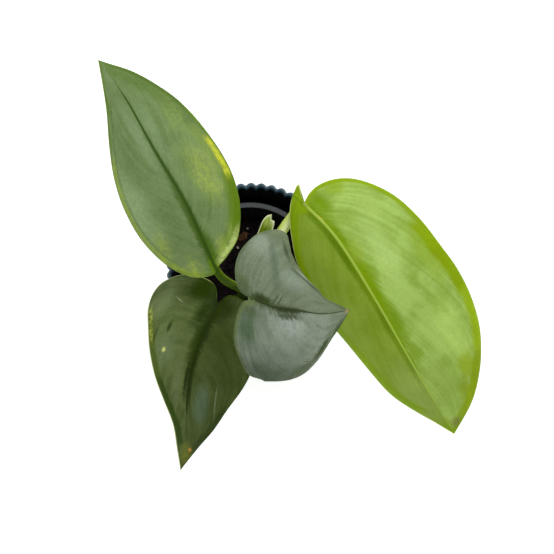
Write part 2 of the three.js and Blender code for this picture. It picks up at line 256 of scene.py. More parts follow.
skin, given, result = new_group(
    "leaf skin",
    {
        "Place": ("vector", None),
        "Flow": ("vector", None),
        "Green": ("colour", paint(70, 100, 20)),
        "Silver Left": ("colour", paint(110, 130, 90)),
        "Silver Right": ("colour", paint(110, 130, 90)),
        "Silver": ("number", 0.9),
        "Clouds": ("number", 0.3),
        "Mottle": ("number", 0.2),
        "Streaks": ("number", 0.2),
        "Rib": ("colour", paint(60, 85, 10)),
        "Rib Strength": ("number", 0.8),
        "Rib Width": ("number", 2.0),
        "Rib Feather": ("number", 3.0),
        "Rib End": ("number", 60.0),
        "Margin": ("colour", paint(98, 123, 23)),
        "Margin Width": ("number", 2.0),
        "Margin Growth": ("number", 0.0),
        "Margin Ragged": ("number", 3.0),
        "Seed": ("number", 0.0),
    },
    {"Colour": "colour", "Light": "number", "Roughness": "number", "Height": "number"},
)
along, across, edge = skin.split(given["Place"])
vein, share, left = skin.split(given["Flow"])
page = skin.plus(given["Seed"], skin.times(left, OTHER_HALF))
fine_place = skin.join(skin.times(vein, FINE_VEINS), skin.times(share, 3.0), page)
fine_veins = skin.noise(fine_place, 1.0, 3.0, 0.6)
broad_place = skin.join(skin.times(vein, BROAD_VEINS), skin.times(share, 1.6), page)
broad_veins = skin.noise(broad_place, 1.0, 3.0)
flat_place = skin.join(along, across, page)
clouds = skin.noise(flat_place, CLOUD_SCALE, 3.0)
grain = skin.noise(flat_place, GRAIN_SCALE, 4.0, 0.65)

rag = skin.times(skin.minus(broad_veins, 0.5), given["Margin Ragged"])
growth = skin.times(along, skin.times(given["Margin Growth"], 0.01))
margin_width = skin.plus(given["Margin Width"], growth)
margin_inner = skin.times(margin_width, 1.7)
outside = skin.smooth(skin.plus(edge, rag), margin_inner, skin.times(margin_width, 0.3))

taper = skin.ramp(along, given["Rib End"], 0.0)
feather = skin.times(skin.minus(fine_veins, 0.5), given["Rib Feather"])
rib_reach = skin.plus(skin.times(given["Rib Width"], taper), 0.05)
ragged_side = skin.plus(midrib_distance(skin, along, across), skin.times(feather, taper))
rib_strength = skin.times(given["Rib Strength"], skin.smooth(taper, 0.0, 0.12))
near_rib = skin.smooth(skin.math("DIVIDE", ragged_side, rib_reach), 1.5, 0.3)
rib_mask = skin.times(near_rib, rib_strength)

cloudy = skin.times(skin.plus(clouds, broad_veins), 0.5)
thin = skin.times(skin.smooth(cloudy, 0.56, 0.4), given["Clouds"])
haze = skin.times(given["Silver"], skin.minus(1.0, thin))
colour = skin.mix(haze, given["Green"], skin.mix(left, given["Silver Right"], given["Silver Left"]))
colour = skin.mix(outside, colour, given["Margin"])
skin.feed(result["Colour"], skin.mix(rib_mask, colour, given["Rib"]))

streaky = skin.plus(skin.minus(fine_veins, 0.5), skin.minus(broad_veins, 0.5))
specks = skin.minus(grain, 0.5)
slow = skin.times(skin.minus(clouds, 0.5), 0.25)
light = skin.times(streaky, given["Streaks"])
light = skin.plus(light, skin.times(specks, given["Mottle"]))
skin.feed(result["Light"], skin.plus(skin.plus(light, slow), 1.0))
skin.feed(result["Roughness"], skin.plus(0.4, skin.times(fine_veins, 0.2)))
skin.feed(result["Height"], skin.plus(fine_veins, skin.times(grain, 0.5)))
print("leaf skin:", len(skin.tree.nodes), "nodes")

# %% [markdown]
# Two thin lines lie on top of everything: the midrib's own line, and the rim of the blade.
# They are a group of their own, because the leaf's marks have to come between them and the skin.

# %% Node group: leaf lines
lines, given, result = new_group(
    "leaf lines",
    {
        "Place": ("vector", None),
        "Flow": ("vector", None),
        "Colour": ("colour", paint(110, 130, 90)),
        "Line": ("colour", paint(50, 75, 5)),
        "Line Strength": ("number", 0.6),
        "Line Width": ("number", 0.4),
        "Line End": ("number", 60.0),
        "Edge Left": ("colour", paint(190, 200, 130)),
        "Edge Right": ("colour", paint(190, 200, 130)),
        "Edge Width": ("number", 0.4),
        "Edge Start": ("number", 0.0),
    },
    {"Colour": "colour"},
)
along, across, edge = lines.split(given["Place"])
_, _, left = lines.split(given["Flow"])
aside = midrib_distance(lines, along, across)
thinning = lines.plus(lines.times(lines.ramp(along, given["Line End"], 0.0), 0.65), 0.35)
line_width = lines.times(given["Line Width"], thinning)
line = lines.smooth(aside, lines.times(line_width, 1.4), lines.times(line_width, 0.5))
ended = lines.smooth(along, given["Line End"], lines.times(given["Line End"], 0.86))
line = lines.times(line, lines.times(ended, given["Line Strength"]))
colour = lines.mix(line, given["Colour"], given["Line"])
rim = lines.smooth(edge, given["Edge Width"], lines.times(given["Edge Width"], 0.4))
from_joint = lines.plus(lines.math("ABSOLUTE", across), lines.math("MAXIMUM", along, 0.0))
past_start = lines.smooth(from_joint, given["Edge Start"], lines.plus(given["Edge Start"], 5.0))
rim_colour = lines.mix(left, given["Edge Right"], given["Edge Left"])
lines.feed(result["Colour"], lines.mix(lines.times(rim, past_start), colour, rim_colour))
print("leaf lines:", len(lines.tree.nodes), "nodes")

# %% [markdown]
# Each leaf also carries marks of its own, such as the yellow stain near the margin of the first.
# There are two kinds. A patch is an oval on the flat leaf, and a band runs beside one margin.
# The outline of both is broken up by noise, part of it drawn out along the veins.
# Painting them would need an image, so both are worked out in the shader from "place".

# %% Node groups: patch and band
MARK_INPUTS = {
    "Place": ("vector", None),
    "Flow": ("vector", None),
    "Ragged": ("number", 0.6),
    "Grain": ("number", 0.2),
    "Specks": ("number", 0.0),
}


def broken_edge(wires, given):
    """Noise about 0, half of it in spots and half drawn out along the veins, as strong as Ragged says."""
    along, across, _ = wires.split(given["Place"])
    vein, share, _ = wires.split(given["Flow"])
    spots = wires.noise(wires.join(along, across, 2.0), given["Grain"], 4.0, 0.6)
    vein_place = wires.join(wires.times(vein, 90.0), wires.times(share, 3.0), 2.0)
    drawn = wires.noise(vein_place, 1.0, 2.0)
    both = wires.times(wires.plus(spots, drawn), 0.5)
    return wires.times(wires.minus(both, 0.5), given["Ragged"])


def speckled(wires, given, mask):
    """Thins a mask out in small spots."""
    along, across, _ = wires.split(given["Place"])
    spots = wires.noise(wires.join(along, across, 5.0), 0.55, 4.0, 0.7)
    gone = wires.times(wires.smooth(spots, 0.56, 0.42), given["Specks"])
    return wires.times(mask, wires.minus(1.0, gone))


patch, given, result = new_group(
    "patch",
    {
        **MARK_INPUTS,
        "Along": ("number", 30.0),
        "Across": ("number", 0.0),
        "Half Length": ("number", 10.0),
        "Half Width": ("number", 5.0),
        "Lean": ("number", 0.0),
    },
    {"Mask": "number"},
)
along, across, _ = patch.split(given["Place"])
past_middle = patch.minus(along, given["Along"])
leaning = patch.plus(given["Across"], patch.times(given["Lean"], past_middle))
lengthways = patch.math("DIVIDE", past_middle, given["Half Length"])
sideways = patch.math("DIVIDE", patch.minus(across, leaning), given["Half Width"])
squares = patch.plus(patch.math("POWER", lengthways, 2.0), patch.math("POWER", sideways, 2.0))
reached = patch.plus(patch.math("SQRT", squares), broken_edge(patch, given))
patch.feed(result["Mask"], speckled(patch, given, patch.smooth(reached, 1.2, 0.2)))
print("patch:", len(patch.tree.nodes), "nodes")

band, given, result = new_group(
    "band",
    {
        **MARK_INPUTS,
        "Side": ("number", 1.0),
        "From": ("number", 0.0),
        "To": ("number", 50.0),
        "Distance": ("number", 2.0),
        "Drift": ("number", 0.0),
        "Half Width": ("number", 1.0),
    },
    {"Mask": "number"},
)
along, _, edge = band.split(given["Place"])
_, _, left = band.split(given["Flow"])
middle = band.plus(given["Distance"], band.times(given["Drift"], along))
off = band.math("ABSOLUTE", band.plus(band.minus(edge, middle), broken_edge(band, given)))
in_width = band.smooth(off, given["Half Width"], band.times(given["Half Width"], 0.3))
started = band.smooth(along, given["From"], band.plus(given["From"], 6.0))
ended = band.smooth(along, given["To"], band.minus(given["To"], 6.0))
on_side = band.math("LESS_THAN", band.math("ABSOLUTE", band.minus(left, given["Side"])), 0.5)
in_length = band.times(band.times(started, ended), on_side)
band.feed(result["Mask"], speckled(band, given, band.times(in_width, in_length)))
print("band:", len(band.tree.nodes), "nodes")

# %% [markdown]
# Both pots are moulded and well used: the surface has a fine grain, pale scuffs and dust.
# The same group serves both, with more scuffs on the soft black nursery pot.

# %% Node group: moulded plastic
moulded, given, result = new_group(
    "moulded plastic",
    {
        "Place": ("vector", None),
        "Base": ("colour", paint(40, 60, 70)),
        "Scuff": ("colour", paint(120, 125, 130)),
        "Scuffs": ("number", 0.3),
        "Grain": ("number", 900.0),
        "Shine": ("number", 0.3),
    },
    {"Colour": "colour", "Roughness": "number", "Height": "number"},
)
blotch = moulded.noise(given["Place"], 90.0, 4.0, 0.6)
fine = moulded.noise(given["Place"], given["Grain"], 2.0)
scuffed = moulded.times(moulded.smooth(blotch, 0.46, 0.66), given["Scuffs"])
dust = moulded.times(given["Scuffs"], 0.4)
dusty = moulded.times(moulded.smooth(fine, 0.5, 0.7), dust)
pale = moulded.math("MAXIMUM", scuffed, dusty)
moulded.feed(result["Colour"], moulded.mix(pale, given["Base"], given["Scuff"]))
moulded.feed(result["Roughness"], moulded.plus(given["Shine"], moulded.times(blotch, 0.2)))
moulded.feed(result["Height"], fine)
print("moulded plastic:", len(moulded.tree.nodes), "nodes")

# %% [markdown]
# The floor is one large sheet of milk-white acrylic that glows a little from below.
# On such a table a plant stands on plain white with hardly a shadow.

# %% Floor
FLOOR_SIZE = 4.0
FLOOR_GLOW = 0.45

floor_finish, wires, shader = new_finish("milky acrylic")
grain = wires.noise(wires.object_place(), 900.0, 3.0)
wires.feed(shader["Base Color"], wires.mix(grain, paint(246, 246, 245), paint(252, 252, 251)))
shader["Roughness"].default_value = 0.9
shader["Emission Color"].default_value = WHITE
shader["Emission Strength"].default_value = FLOOR_GLOW
shader["Specular IOR Level"].default_value = 0.1
bump(wires, shader, grain, 0.05, 0.2 * MM)

bm = bmesh.new()
bmesh.ops.create_grid(bm, x_segments=8, y_segments=8, size=FLOOR_SIZE / 2)
floor_mesh = bpy.data.meshes.new("floor")
bm.to_mesh(floor_mesh)
bm.free()
floor_mesh.materials.append(floor_finish)
floor = bpy.data.objects.new("floor", floor_mesh)
bpy.context.scene.collection.objects.link(floor)
print("floor:", FLOOR_SIZE, "m wide")

# %% [markdown]
# Every piece below ends the same way: its mesh becomes an object at the origin, and it takes the place of
# a plain solid of the measured model.

# %% Helpers for pieces


def finished_piece(name, bm, node, slot, *finishes):
    """Makes the object from its bmesh and lets it stand for a node of the measured model."""
    mesh = bpy.data.meshes.new(name)
    bm.to_mesh(mesh)
    bm.free()
    mesh.polygons.foreach_set("use_smooth", [True] * len(mesh.polygons))
    for finish in finishes:
        mesh.materials.append(finish)
    piece = bpy.data.objects.new(name, mesh)
    bpy.context.scene.collection.objects.link(piece)
    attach(piece, "root")
    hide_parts(node)
    print(name, "has", len(mesh.polygons), "faces and stands for", node)
    return piece


def turned(profile, steps):
    """A round body from its half profile of (radius, height) in millimetres, spun once round."""
    bm = bmesh.new()
    points = [bm.verts.new(Vector((radius, 0, height)) * MM) for radius, height in profile]
    lines = [bm.edges.new(pair) for pair in zip(points, points[1:])]
    bmesh.ops.spin(
        bm, geom=points + lines, cent=(0, 0, 0), axis=(0, 0, 1), angle=TURN, steps=steps, use_merge=True
    )
    bmesh.ops.remove_doubles(bm, verts=bm.verts, dist=0.001 * MM)
    bmesh.ops.recalc_face_normals(bm, faces=bm.faces)
    return bm


def arc(centre, radius, start, end, count):
    """Points on a round corner of a profile, with its angles in degrees."""
    angles = [math.radians(start + (end - start) * i / (count - 1)) for i in range(count)]
    return [(centre[0] + radius * math.cos(a), centre[1] + radius * math.sin(a)) for a in angles]


def between(start, end, count):
    """Evenly spaced points of a straight stretch, without its two ends."""
    shares = [i / (count + 1) for i in range(1, count + 1)]
    return [tuple(a + (b - a) * share for a, b in zip(start, end)) for share in shares]


print("helpers for pieces are ready")

# %% [markdown]
# The outer pot is a ribbed cup with a scalloped rim: 49 round flutes with sharp valleys between them,
# on both faces of its wall.
# Modelling one flute and repeating it would leave seams. It is easier to spin a plain cup and then move
# every point in or out by a formula of its angle: the size of half a cosine wave has just that shape.

# %% Outer pot: shape
POT_HEIGHT = 64.5
POT_TOP_RADIUS = 36
POT_BASE_RADIUS = 28
POT_FLOOR = 3
POT_WALL = 1.9
POT_FOOT_ROUND = 1.1
POT_FOOT_TOP = 1.2
POT_INNER_ROUND = 1.5
POT_LIP_DEPTH = 2
POT_UNDER_RADIUS = 20
POT_FLOOR_RADIUS = 15
POT_ROWS = 16
FLUTES = 49
FLUTE_DEPTH = 1.2
FLUTE_TURN = math.radians(2.6)
STEPS_PER_FLUTE = 12
FLUTES_START = 18
FLUTES_FULL = 24

pot_slope = (POT_TOP_RADIUS - POT_BASE_RADIUS) / POT_HEIGHT


def wall_radius(height, inset=0.0):
    return POT_BASE_RADIUS + pot_slope * height - inset


lip = POT_WALL / 2
lip_centre = (wall_radius(POT_HEIGHT - lip, lip), POT_HEIGHT - lip)
lip_start = POT_HEIGHT - POT_LIP_DEPTH
lip_foot = (wall_radius(lip_start, POT_WALL), lip_start)
inner_start = POT_FLOOR + POT_INNER_ROUND
inner_foot = (wall_radius(inner_start, POT_WALL), inner_start)
foot = (wall_radius(POT_FOOT_TOP), POT_FOOT_TOP)
foot_centre = (POT_BASE_RADIUS - POT_FOOT_ROUND, POT_FOOT_ROUND)
pot_profile = [(0, 0), (POT_UNDER_RADIUS, 0), (foot_centre[0], 0)]
pot_profile += arc(foot_centre, POT_FOOT_ROUND, -75, -8, 5)
pot_profile += [foot] + between(foot, (wall_radius(lip_start), lip_start), POT_ROWS)
pot_profile += arc(lip_centre, lip, -6, 186, 13)
pot_profile += [lip_foot] + between(lip_foot, inner_foot, POT_ROWS) + [inner_foot]
pot_profile += arc((inner_foot[0] - POT_INNER_ROUND, inner_start), POT_INNER_ROUND, -15, -90, 4)
pot_profile += [(POT_FLOOR_RADIUS, POT_FLOOR), (0, POT_FLOOR)]

bm = turned(pot_profile, FLUTES * STEPS_PER_FLUTE)
for point in bm.verts:
    radius = point.co.xy.length / MM
    angle = math.atan2(point.co.y, point.co.x)
    crest = (abs(math.cos(FLUTES * (angle - FLUTE_TURN) / 2)) - 1) * FLUTE_DEPTH
    fade = min(max((radius - FLUTES_START) / (FLUTES_FULL - FLUTES_START), 0), 1)
    if radius > 0:
        point.co.xy *= 1 + crest * fade / radius

# %% [markdown]
# The pot is dark blue-green plastic with a satin coat, a little dusty in its grain.
# Its inside is nearly black in the photograph, because hardly any light falls between the two pots.
# Weaker lamps would darken the leaves as well, so the shade is painted instead: the inside faces get a
# near-black finish.

# %% Outer pot: finish
INSIDE = 1
INSIDE_START = 1.6


def lay_plastic(wires, shader, base, scuff, scuffs, grain, shine, relief):
    """Places the plastic in a material and joins it to the shader."""
    values = {"Base": base, "Scuff": scuff, "Scuffs": scuffs, "Grain": grain, "Shine": shine}
    worn = wires.group("moulded plastic", {"Place": wires.object_place(), **values})
    wires.feed(shader["Base Color"], worn["Colour"])
    wires.feed(shader["Roughness"], worn["Roughness"])
    bump(wires, shader, worn["Height"], relief, 0.1 * MM)


pot_teal, wires, shader = new_finish("teal ribbed pot")
lay_plastic(wires, shader, paint(34, 64, 80), paint(78, 108, 126), 0.35, 1400.0, 0.2, 0.12)
shader["Coat Weight"].default_value = 0.25
shader["Coat Roughness"].default_value = 0.15

# Painted shade: the inside faces are near-black because little light falls between the two pots.
pot_inside_painted_shade, wires, shader = new_finish("pot inside painted shade")
lay_plastic(wires, shader, paint(5, 9, 13), paint(12, 20, 26), 0.3, 1400.0, 0.5, 0.12)
shader["Specular IOR Level"].default_value = 0.2

for face in bm.faces:
    middle = face.calc_center_median() / MM
    within = middle.xy.length < wall_radius(middle.z, POT_WALL / 2 + FLUTE_DEPTH / 2)
    if within and POT_FLOOR / 2 < middle.z < POT_HEIGHT - INSIDE_START:
        face.material_index = INSIDE
finished_piece("ribbed_pot_fluted", bm, "outer_pot", "ribbed_pot", pot_teal, pot_inside_painted_shade)

# %% [markdown]
# The nursery pot is a thin tapered cup of black plastic with a flat rolled rim, whose top has a painted grey
# highlight.
# Its inside has fine upright ribs, and its floor has five round holes to let water out.
# The cup is spun again. The ribs are points pulled inwards at 24 angles, and the holes are cut
# with a Boolean modifier, because a spun floor has no edges where a hole could be opened.

# %% Nursery pot: shape
LINER_X = -1
LINER_Y = -0.5
LINER_BOTTOM = 3.3
LINER_TOP = 56
LINER_WALL = 1.1
LINER_FLOOR = 1.5
LINER_CHAMFER = 0.6
LINER_INNER_CHAMFER = 0.5
LINER_NECK_DROP = 0.8
LINER_ROUND = 0.4
LINER_CREST_ROUND = 0.5
LINER_BASE_RADIUS = 20
LINER_NECK_RADIUS = 27
LINER_RIM_RADIUS = 29.5
LINER_RIM_WIDTH = 2.3
LINER_RIM_HEIGHT = 2.4
LINER_RIBS = 24
LINER_RIB = 0.25
LINER_RIBS_START = 15
DRAIN_HOLES = 5
DRAIN_RADIUS = 3.5
DRAIN_CIRCLE = 12
STEPS_PER_RIB = 16

neck = LINER_TOP - LINER_RIM_HEIGHT
rim_inner = LINER_RIM_RADIUS - LINER_RIM_WIDTH
floor_top = LINER_BOTTOM + LINER_FLOOR
outer_foot = (LINER_BASE_RADIUS, LINER_BOTTOM + LINER_CHAMFER)
inner_neck = (LINER_NECK_RADIUS - LINER_WALL, neck - LINER_NECK_DROP)
inner_foot = (LINER_BASE_RADIUS - LINER_WALL, floor_top + LINER_INNER_CHAMFER)
rim_edge = (LINER_RIM_RADIUS - LINER_ROUND, neck + LINER_ROUND)
crest = (LINER_RIM_RADIUS - LINER_CREST_ROUND, LINER_TOP - LINER_CREST_ROUND)
inner_crest = (rim_inner + LINER_ROUND, LINER_TOP - LINER_ROUND)
liner_profile = [(0, LINER_BOTTOM), (LINER_BASE_RADIUS - LINER_CHAMFER, LINER_BOTTOM)]
liner_profile += [outer_foot] + between(outer_foot, (LINER_NECK_RADIUS, neck), 10)
liner_profile += [(LINER_NECK_RADIUS, neck)]
liner_profile += arc(rim_edge, LINER_ROUND, -90, 0, 4)
liner_profile += arc(crest, LINER_CREST_ROUND, 0, 90, 5)
liner_profile += arc(inner_crest, LINER_ROUND, 90, 180, 5)
liner_profile += [(rim_inner - 0.15, neck + 0.6), inner_neck] + between(inner_neck, inner_foot, 14)
liner_profile += [inner_foot, (inner_foot[0] - LINER_INNER_CHAMFER, floor_top), (0, floor_top)]

bm = turned(liner_profile, LINER_RIBS * STEPS_PER_RIB)
for point in bm.verts:
    radius = point.co.xy.length / MM
    height = point.co.z / MM
    depth = LINER_BASE_RADIUS + (LINER_NECK_RADIUS - LINER_BASE_RADIUS) * (height / neck) - LINER_WALL / 2
    if LINER_RIBS_START < radius < depth and height < neck:
        turn = math.atan2(point.co.y, point.co.x) / TURN * LINER_RIBS
        off_rib = abs(turn - round(turn)) * STEPS_PER_RIB
        point.co.xy *= 1 - LINER_RIB * math.exp(-off_rib * off_rib) / radius
bmesh.ops.translate(bm, verts=bm.verts, vec=Vector((LINER_X, LINER_Y, 0)) * MM)

# %% [markdown]
# The cup is soft black plastic and hardly scuffed. The top of its rim is painted grey, a painted highlight.
# Two materials would meet in a hard line, so one material mixes both greys by height.

# %% Nursery pot: finish
RIM_HIGHLIGHT_START = LINER_TOP - 0.6
RIM_HIGHLIGHT_FULL = LINER_TOP - 0.1

nursery_black, wires, shader = new_finish("black nursery plastic")
height = wires.split(wires.object_place())[2]
# Painted highlight: the top of the rim turns grey.
rim_highlight = wires.smooth(height, RIM_HIGHLIGHT_START * MM, RIM_HIGHLIGHT_FULL * MM)
base = wires.mix(rim_highlight, paint(12, 8, 12), paint(88, 90, 96))
scuff = wires.mix(rim_highlight, paint(26, 22, 26), paint(116, 120, 128))
lay_plastic(wires, shader, base, scuff, 0.5, 1500.0, 0.42, 0.2)
shader["Specular IOR Level"].default_value = 0.35
nursery_pot = finished_piece("nursery_cup", bm, "nursery_pot", "nursery_plastic", nursery_black)

# %% Nursery pot: drain holes
CUT_DEPTH = 6

cutter = bmesh.new()
for i in range(DRAIN_HOLES):
    angle = i / DRAIN_HOLES * TURN
    x = LINER_X + DRAIN_CIRCLE * math.cos(angle)
    y = LINER_Y + DRAIN_CIRCLE * math.sin(angle)
    place = Matrix.Translation(Vector((x, y, LINER_BOTTOM)) * MM)
    bmesh.ops.create_cone(
        cutter, cap_ends=True, segments=32, radius1=DRAIN_RADIUS * MM, radius2=DRAIN_RADIUS * MM,
        depth=CUT_DEPTH * MM, matrix=place,
    )
cutter_mesh = bpy.data.meshes.new("drain cutter")
cutter.to_mesh(cutter_mesh)
cutter.free()
cutter_object = bpy.data.objects.new("drain cutter", cutter_mesh)
bpy.context.scene.collection.objects.link(cutter_object)
holes = nursery_pot.modifiers.new("drain holes", "BOOLEAN")
holes.object = cutter_object
holes.operation = "DIFFERENCE"
holes.solver = "EXACT"
bpy.context.view_layer.update()
pierced = bpy.data.meshes.new_from_object(nursery_pot.evaluated_get(bpy.context.evaluated_depsgraph_get()))
nursery_pot.modifiers.remove(holes)
nursery_pot.data = pierced
bpy.data.objects.remove(cutter_object)
print("nursery pot with holes:", len(pierced.polygons), "faces")

# %% [markdown]
# The soil is dark damp peat. Seen close it is a heap of crumbs of all sizes, so it is made in two ways:
# a lumpy bed, which is a spun disc moved up and down by noise, and loose crumbs strewn over it.
# A few of the crumbs are pale grit, and three are chips of brown bark. All draws are seeded.

# %% Soil: bed
SOIL_TOP = 43.5
SOIL_LUMP = 1.3
SOIL_GAP = 0.3
SOIL_CLODS = 0.55
SOIL_CRUMBS = 0.42
SOIL_EDGE = 2
SOIL_SLOPE_TOP = 0.6
SOIL_RINGS = 64
SOIL_STEPS = 220

soil_bottom = floor_top + SOIL_GAP
slope_height = neck - SOIL_SLOPE_TOP - LINER_BOTTOM - LINER_FLOOR
soil_slope = (LINER_NECK_RADIUS - LINER_BASE_RADIUS) / slope_height


def soil_radius(height):
    return LINER_BASE_RADIUS - LINER_WALL - LINER_RIB - SOIL_GAP + (height - soil_bottom) * soil_slope


def soil_height(x, y):
    """Height of the bed in millimetres: slow lumps, then clods, then crumbs."""
    lump = 0.5 * math.sin(x / 2.9 + 1) * math.cos(y / 3.3) + 0.35 * math.sin((x + y) / 4.7)
    clods = noise.noise(Vector((x, y, 3.1)) * 0.45)
    crumbs = noise.fractal(Vector((x, y, 9.4)) * 1.1, 0.6, 2.2, 3)
    return SOIL_TOP + SOIL_LUMP * lump + SOIL_CLODS * clods + SOIL_CRUMBS * crumbs


top_edge = soil_radius(SOIL_TOP)
below_edge = (soil_radius(SOIL_TOP - SOIL_EDGE), SOIL_TOP - SOIL_EDGE)
soil_profile = [(0, soil_bottom), (soil_radius(soil_bottom), soil_bottom)]
soil_profile += between(soil_profile[-1], below_edge, 6) + [below_edge]
soil_profile += [(top_edge * (1 - i / SOIL_RINGS), SOIL_TOP) for i in range(SOIL_RINGS + 1)]
bm = turned(soil_profile, SOIL_STEPS)
for point in bm.verts:
    if point.co.z > (SOIL_TOP - 1) * MM:
        point.co.z = soil_height(point.co.x / MM, point.co.y / MM) * MM
print("soil bed:", len(bm.faces), "faces")

# %% Soil: crumbs, grit and bark
CRUMBS = 420
SMALLEST_CRUMB = 0.28
CRUMB_SPREAD = 0.75
CRUMB_LUMP = 0.35
PEAT, GRIT, BARK = 0, 1, 2
GRIT_PLACES = [(-6.7, 10.9), (16.7, 23.8), (-0.4, -11.2), (-11.8, -4.6), (-2.5, 19.5), (6.5, 21.5), (-15, 6)]
BARK_PLACES = [(-4.5, 15.8, 1.9), (3.5, 18.2, 0.9), (-9.5, 17.0, 1.0)]
dice = random.Random(11)


def add_crumb(bm, x, y, size, finish, flat, stretch, rounds=1, sunk=0.25):
    """One irregular lump that lies on the bed, a little sunk into it. Rounds is how fine it is."""
    turn = Matrix.Rotation(dice.uniform(0, TURN), 4, "Z") @ Matrix.Rotation(dice.uniform(-0.5, 0.5), 4, "X")
    shape = Matrix.Diagonal((size * stretch * MM, size * MM, size * flat * MM, 1))
    height = soil_height(x, y) + size * flat * (1 - 2 * sunk)
    place = Matrix.Translation(Vector((x, y, height)) * MM)
    made = bmesh.ops.create_icosphere(bm, subdivisions=rounds, radius=1, matrix=place @ turn @ shape)
    for corner in made["verts"]:
        away = corner.co - place.translation
        lump = noise.noise(corner.co / (0.6 * size * MM))
        corner.co = place.translation + away * (1 + CRUMB_LUMP * lump)
    for face in {face for corner in made["verts"] for face in corner.link_faces}:
        face.material_index = finish


for _ in range(CRUMBS):
    reach = (top_edge - 1) * math.sqrt(dice.random())
    angle = dice.uniform(0, TURN)
    size = SMALLEST_CRUMB + CRUMB_SPREAD * dice.random() ** 3
    flat = dice.uniform(0.5, 0.9)
    stretch = dice.uniform(1, 1.6)
    add_crumb(bm, reach * math.cos(angle), reach * math.sin(angle), size, PEAT, flat, stretch)
for x, y in GRIT_PLACES:
    add_crumb(bm, x - LINER_X, y - LINER_Y, dice.uniform(0.45, 0.65), GRIT, 0.8, 1.2, 2, 0.15)
for x, y, size in BARK_PLACES:
    add_crumb(bm, x - LINER_X, y - LINER_Y, size, BARK, 0.5, 1.5, 2, 0.2)
bmesh.ops.translate(bm, verts=bm.verts, vec=Vector((LINER_X, LINER_Y, 0)) * MM)
print("strewn on it:", CRUMBS, "crumbs,", len(GRIT_PLACES), "grains,", len(BARK_PLACES), "chips")

# %% [markdown]
# Peat, grit and bark differ only in their two colours and in how coarse they are.
# One function makes all three: noise mixes the colours, and finer noise roughens the surface.

# %% Soil: finish


def soil_finish(name, dark, light, scale, strength):
    """A rough earthy finish that wanders between a dark and a light colour."""
    material, wires, shader = new_finish(name)
    place = wires.object_place()
    mottle = wires.noise(place, scale, 5.0, 0.7)
    wires.feed(shader["Base Color"], wires.mix(wires.smooth(mottle, 0.35, 0.68), dark, light))
    wires.feed(shader["Roughness"], wires.plus(0.7, wires.times(mottle, 0.4)))
    shader["Specular IOR Level"].default_value = 0.15
    bump(wires, shader, wires.noise(place, scale * 4, 4.0, 0.6), strength, 0.3 * MM)
    return material


peat = soil_finish("damp peat", paint(7, 2, 5), paint(30, 21, 22), 420.0, 0.8)
grit = soil_finish("pale grit", paint(120, 116, 104), paint(172, 168, 152), 600.0, 0.4)
bark = soil_finish("bark chip", paint(52, 33, 19), paint(104, 72, 42), 350.0, 0.8)
finished_piece("soil_bed", bm, "soil", "soil", peat, grit, bark)

# %% [markdown]
# The leaves are the heart of the plant. A real blade is a thin sheet that grew out of one line, its
# midrib, so it is made the same way here: a flat grid is laid along that line, stretched out to the
# two margins, and bent.
# The side veins leave the midrib and sweep forward across the grid's rows. Each point knows which vein
# it is on, and that number carries the ripples of the surface and the pattern of the skin.
# Cloth simulation would lose the outline, and sculpting can't be repeated. A formula keeps both.

# %% Leaves: lines and frames


def through(points, share):
    """A smooth line through the points, read at shares from 0 to 1."""
    points = np.asarray(points, float)
    last = len(points) - 1
    place = np.clip(share, 0, 1) * last
    first = np.minimum(place.astype(int), last - 1)
    step = (place - first)[..., None]
    padded = np.vstack([2 * points[0] - points[1], points, 2 * points[-1] - points[-2]])
    a, b, c, d = (padded[first + k] for k in range(4))
    bend = 2 * a - 5 * b + 4 * c - d
    twist = 3 * b - a - 3 * c + d
    return 0.5 * (2 * b + (c - a) * step + bend * step**2 + twist * step**3)


def unit(vectors):
    return vectors / np.linalg.norm(vectors, axis=-1, keepdims=True)


class Midrib:
    """A leaf's midrib as a measured line, with the level direction that its cross-sections lie along."""

    STEPS = 300
    WINDOW = 25

    def __init__(self, points):
        self.at = through(points, np.linspace(0, 1, self.STEPS + 1))
        spans = np.linalg.norm(np.diff(self.at, axis=0), axis=1)
        self.lengths = np.concatenate([[0], np.cumsum(spans)])
        self.length = self.lengths[-1]
        steps = np.arange(self.STEPS + 1)
        ahead = self.at[np.minimum(steps + self.WINDOW, self.STEPS)]
        behind = self.at[np.maximum(steps - self.WINDOW, 0)]
        self.tangents = unit(ahead - behind)
        self.side = unit(np.cross((0, 0, 1), self.at[-1] - self.at[0]))

    def read(self, values, along):
        return np.stack([np.interp(along, self.lengths, values[:, k]) for k in range(3)], axis=-1)

    def station(self, along, hang=0.01):
        """Place and upward direction at lengths along the midrib. Behind the joint it bends down."""
        wanted = np.clip(along, 0, self.length)
        tangent = unit(self.read(self.tangents, wanted))
        level = unit(np.cross(tangent, self.side))
        turn = hang * np.minimum(along, 0)[..., None]
        at = self.read(self.at, wanted) + tangent * np.sin(turn) / hang + level * (np.cos(turn) - 1) / hang
        return at, level * np.cos(turn) + tangent * np.sin(turn)


print("a midrib is read at", Midrib.STEPS, "steps")

# %% [markdown]
# Each leaf is written down as a few lines: its midrib through five points, how the blade slopes to
# its left and right on the way to the tip, and its two margins on the flat leaf.
# The measured model has the same numbers, so the fine blade lies in the plain one. Only four points of
# the middle leaf's right margin differ, by up to 1 mm, where the fine blade is a little fuller.

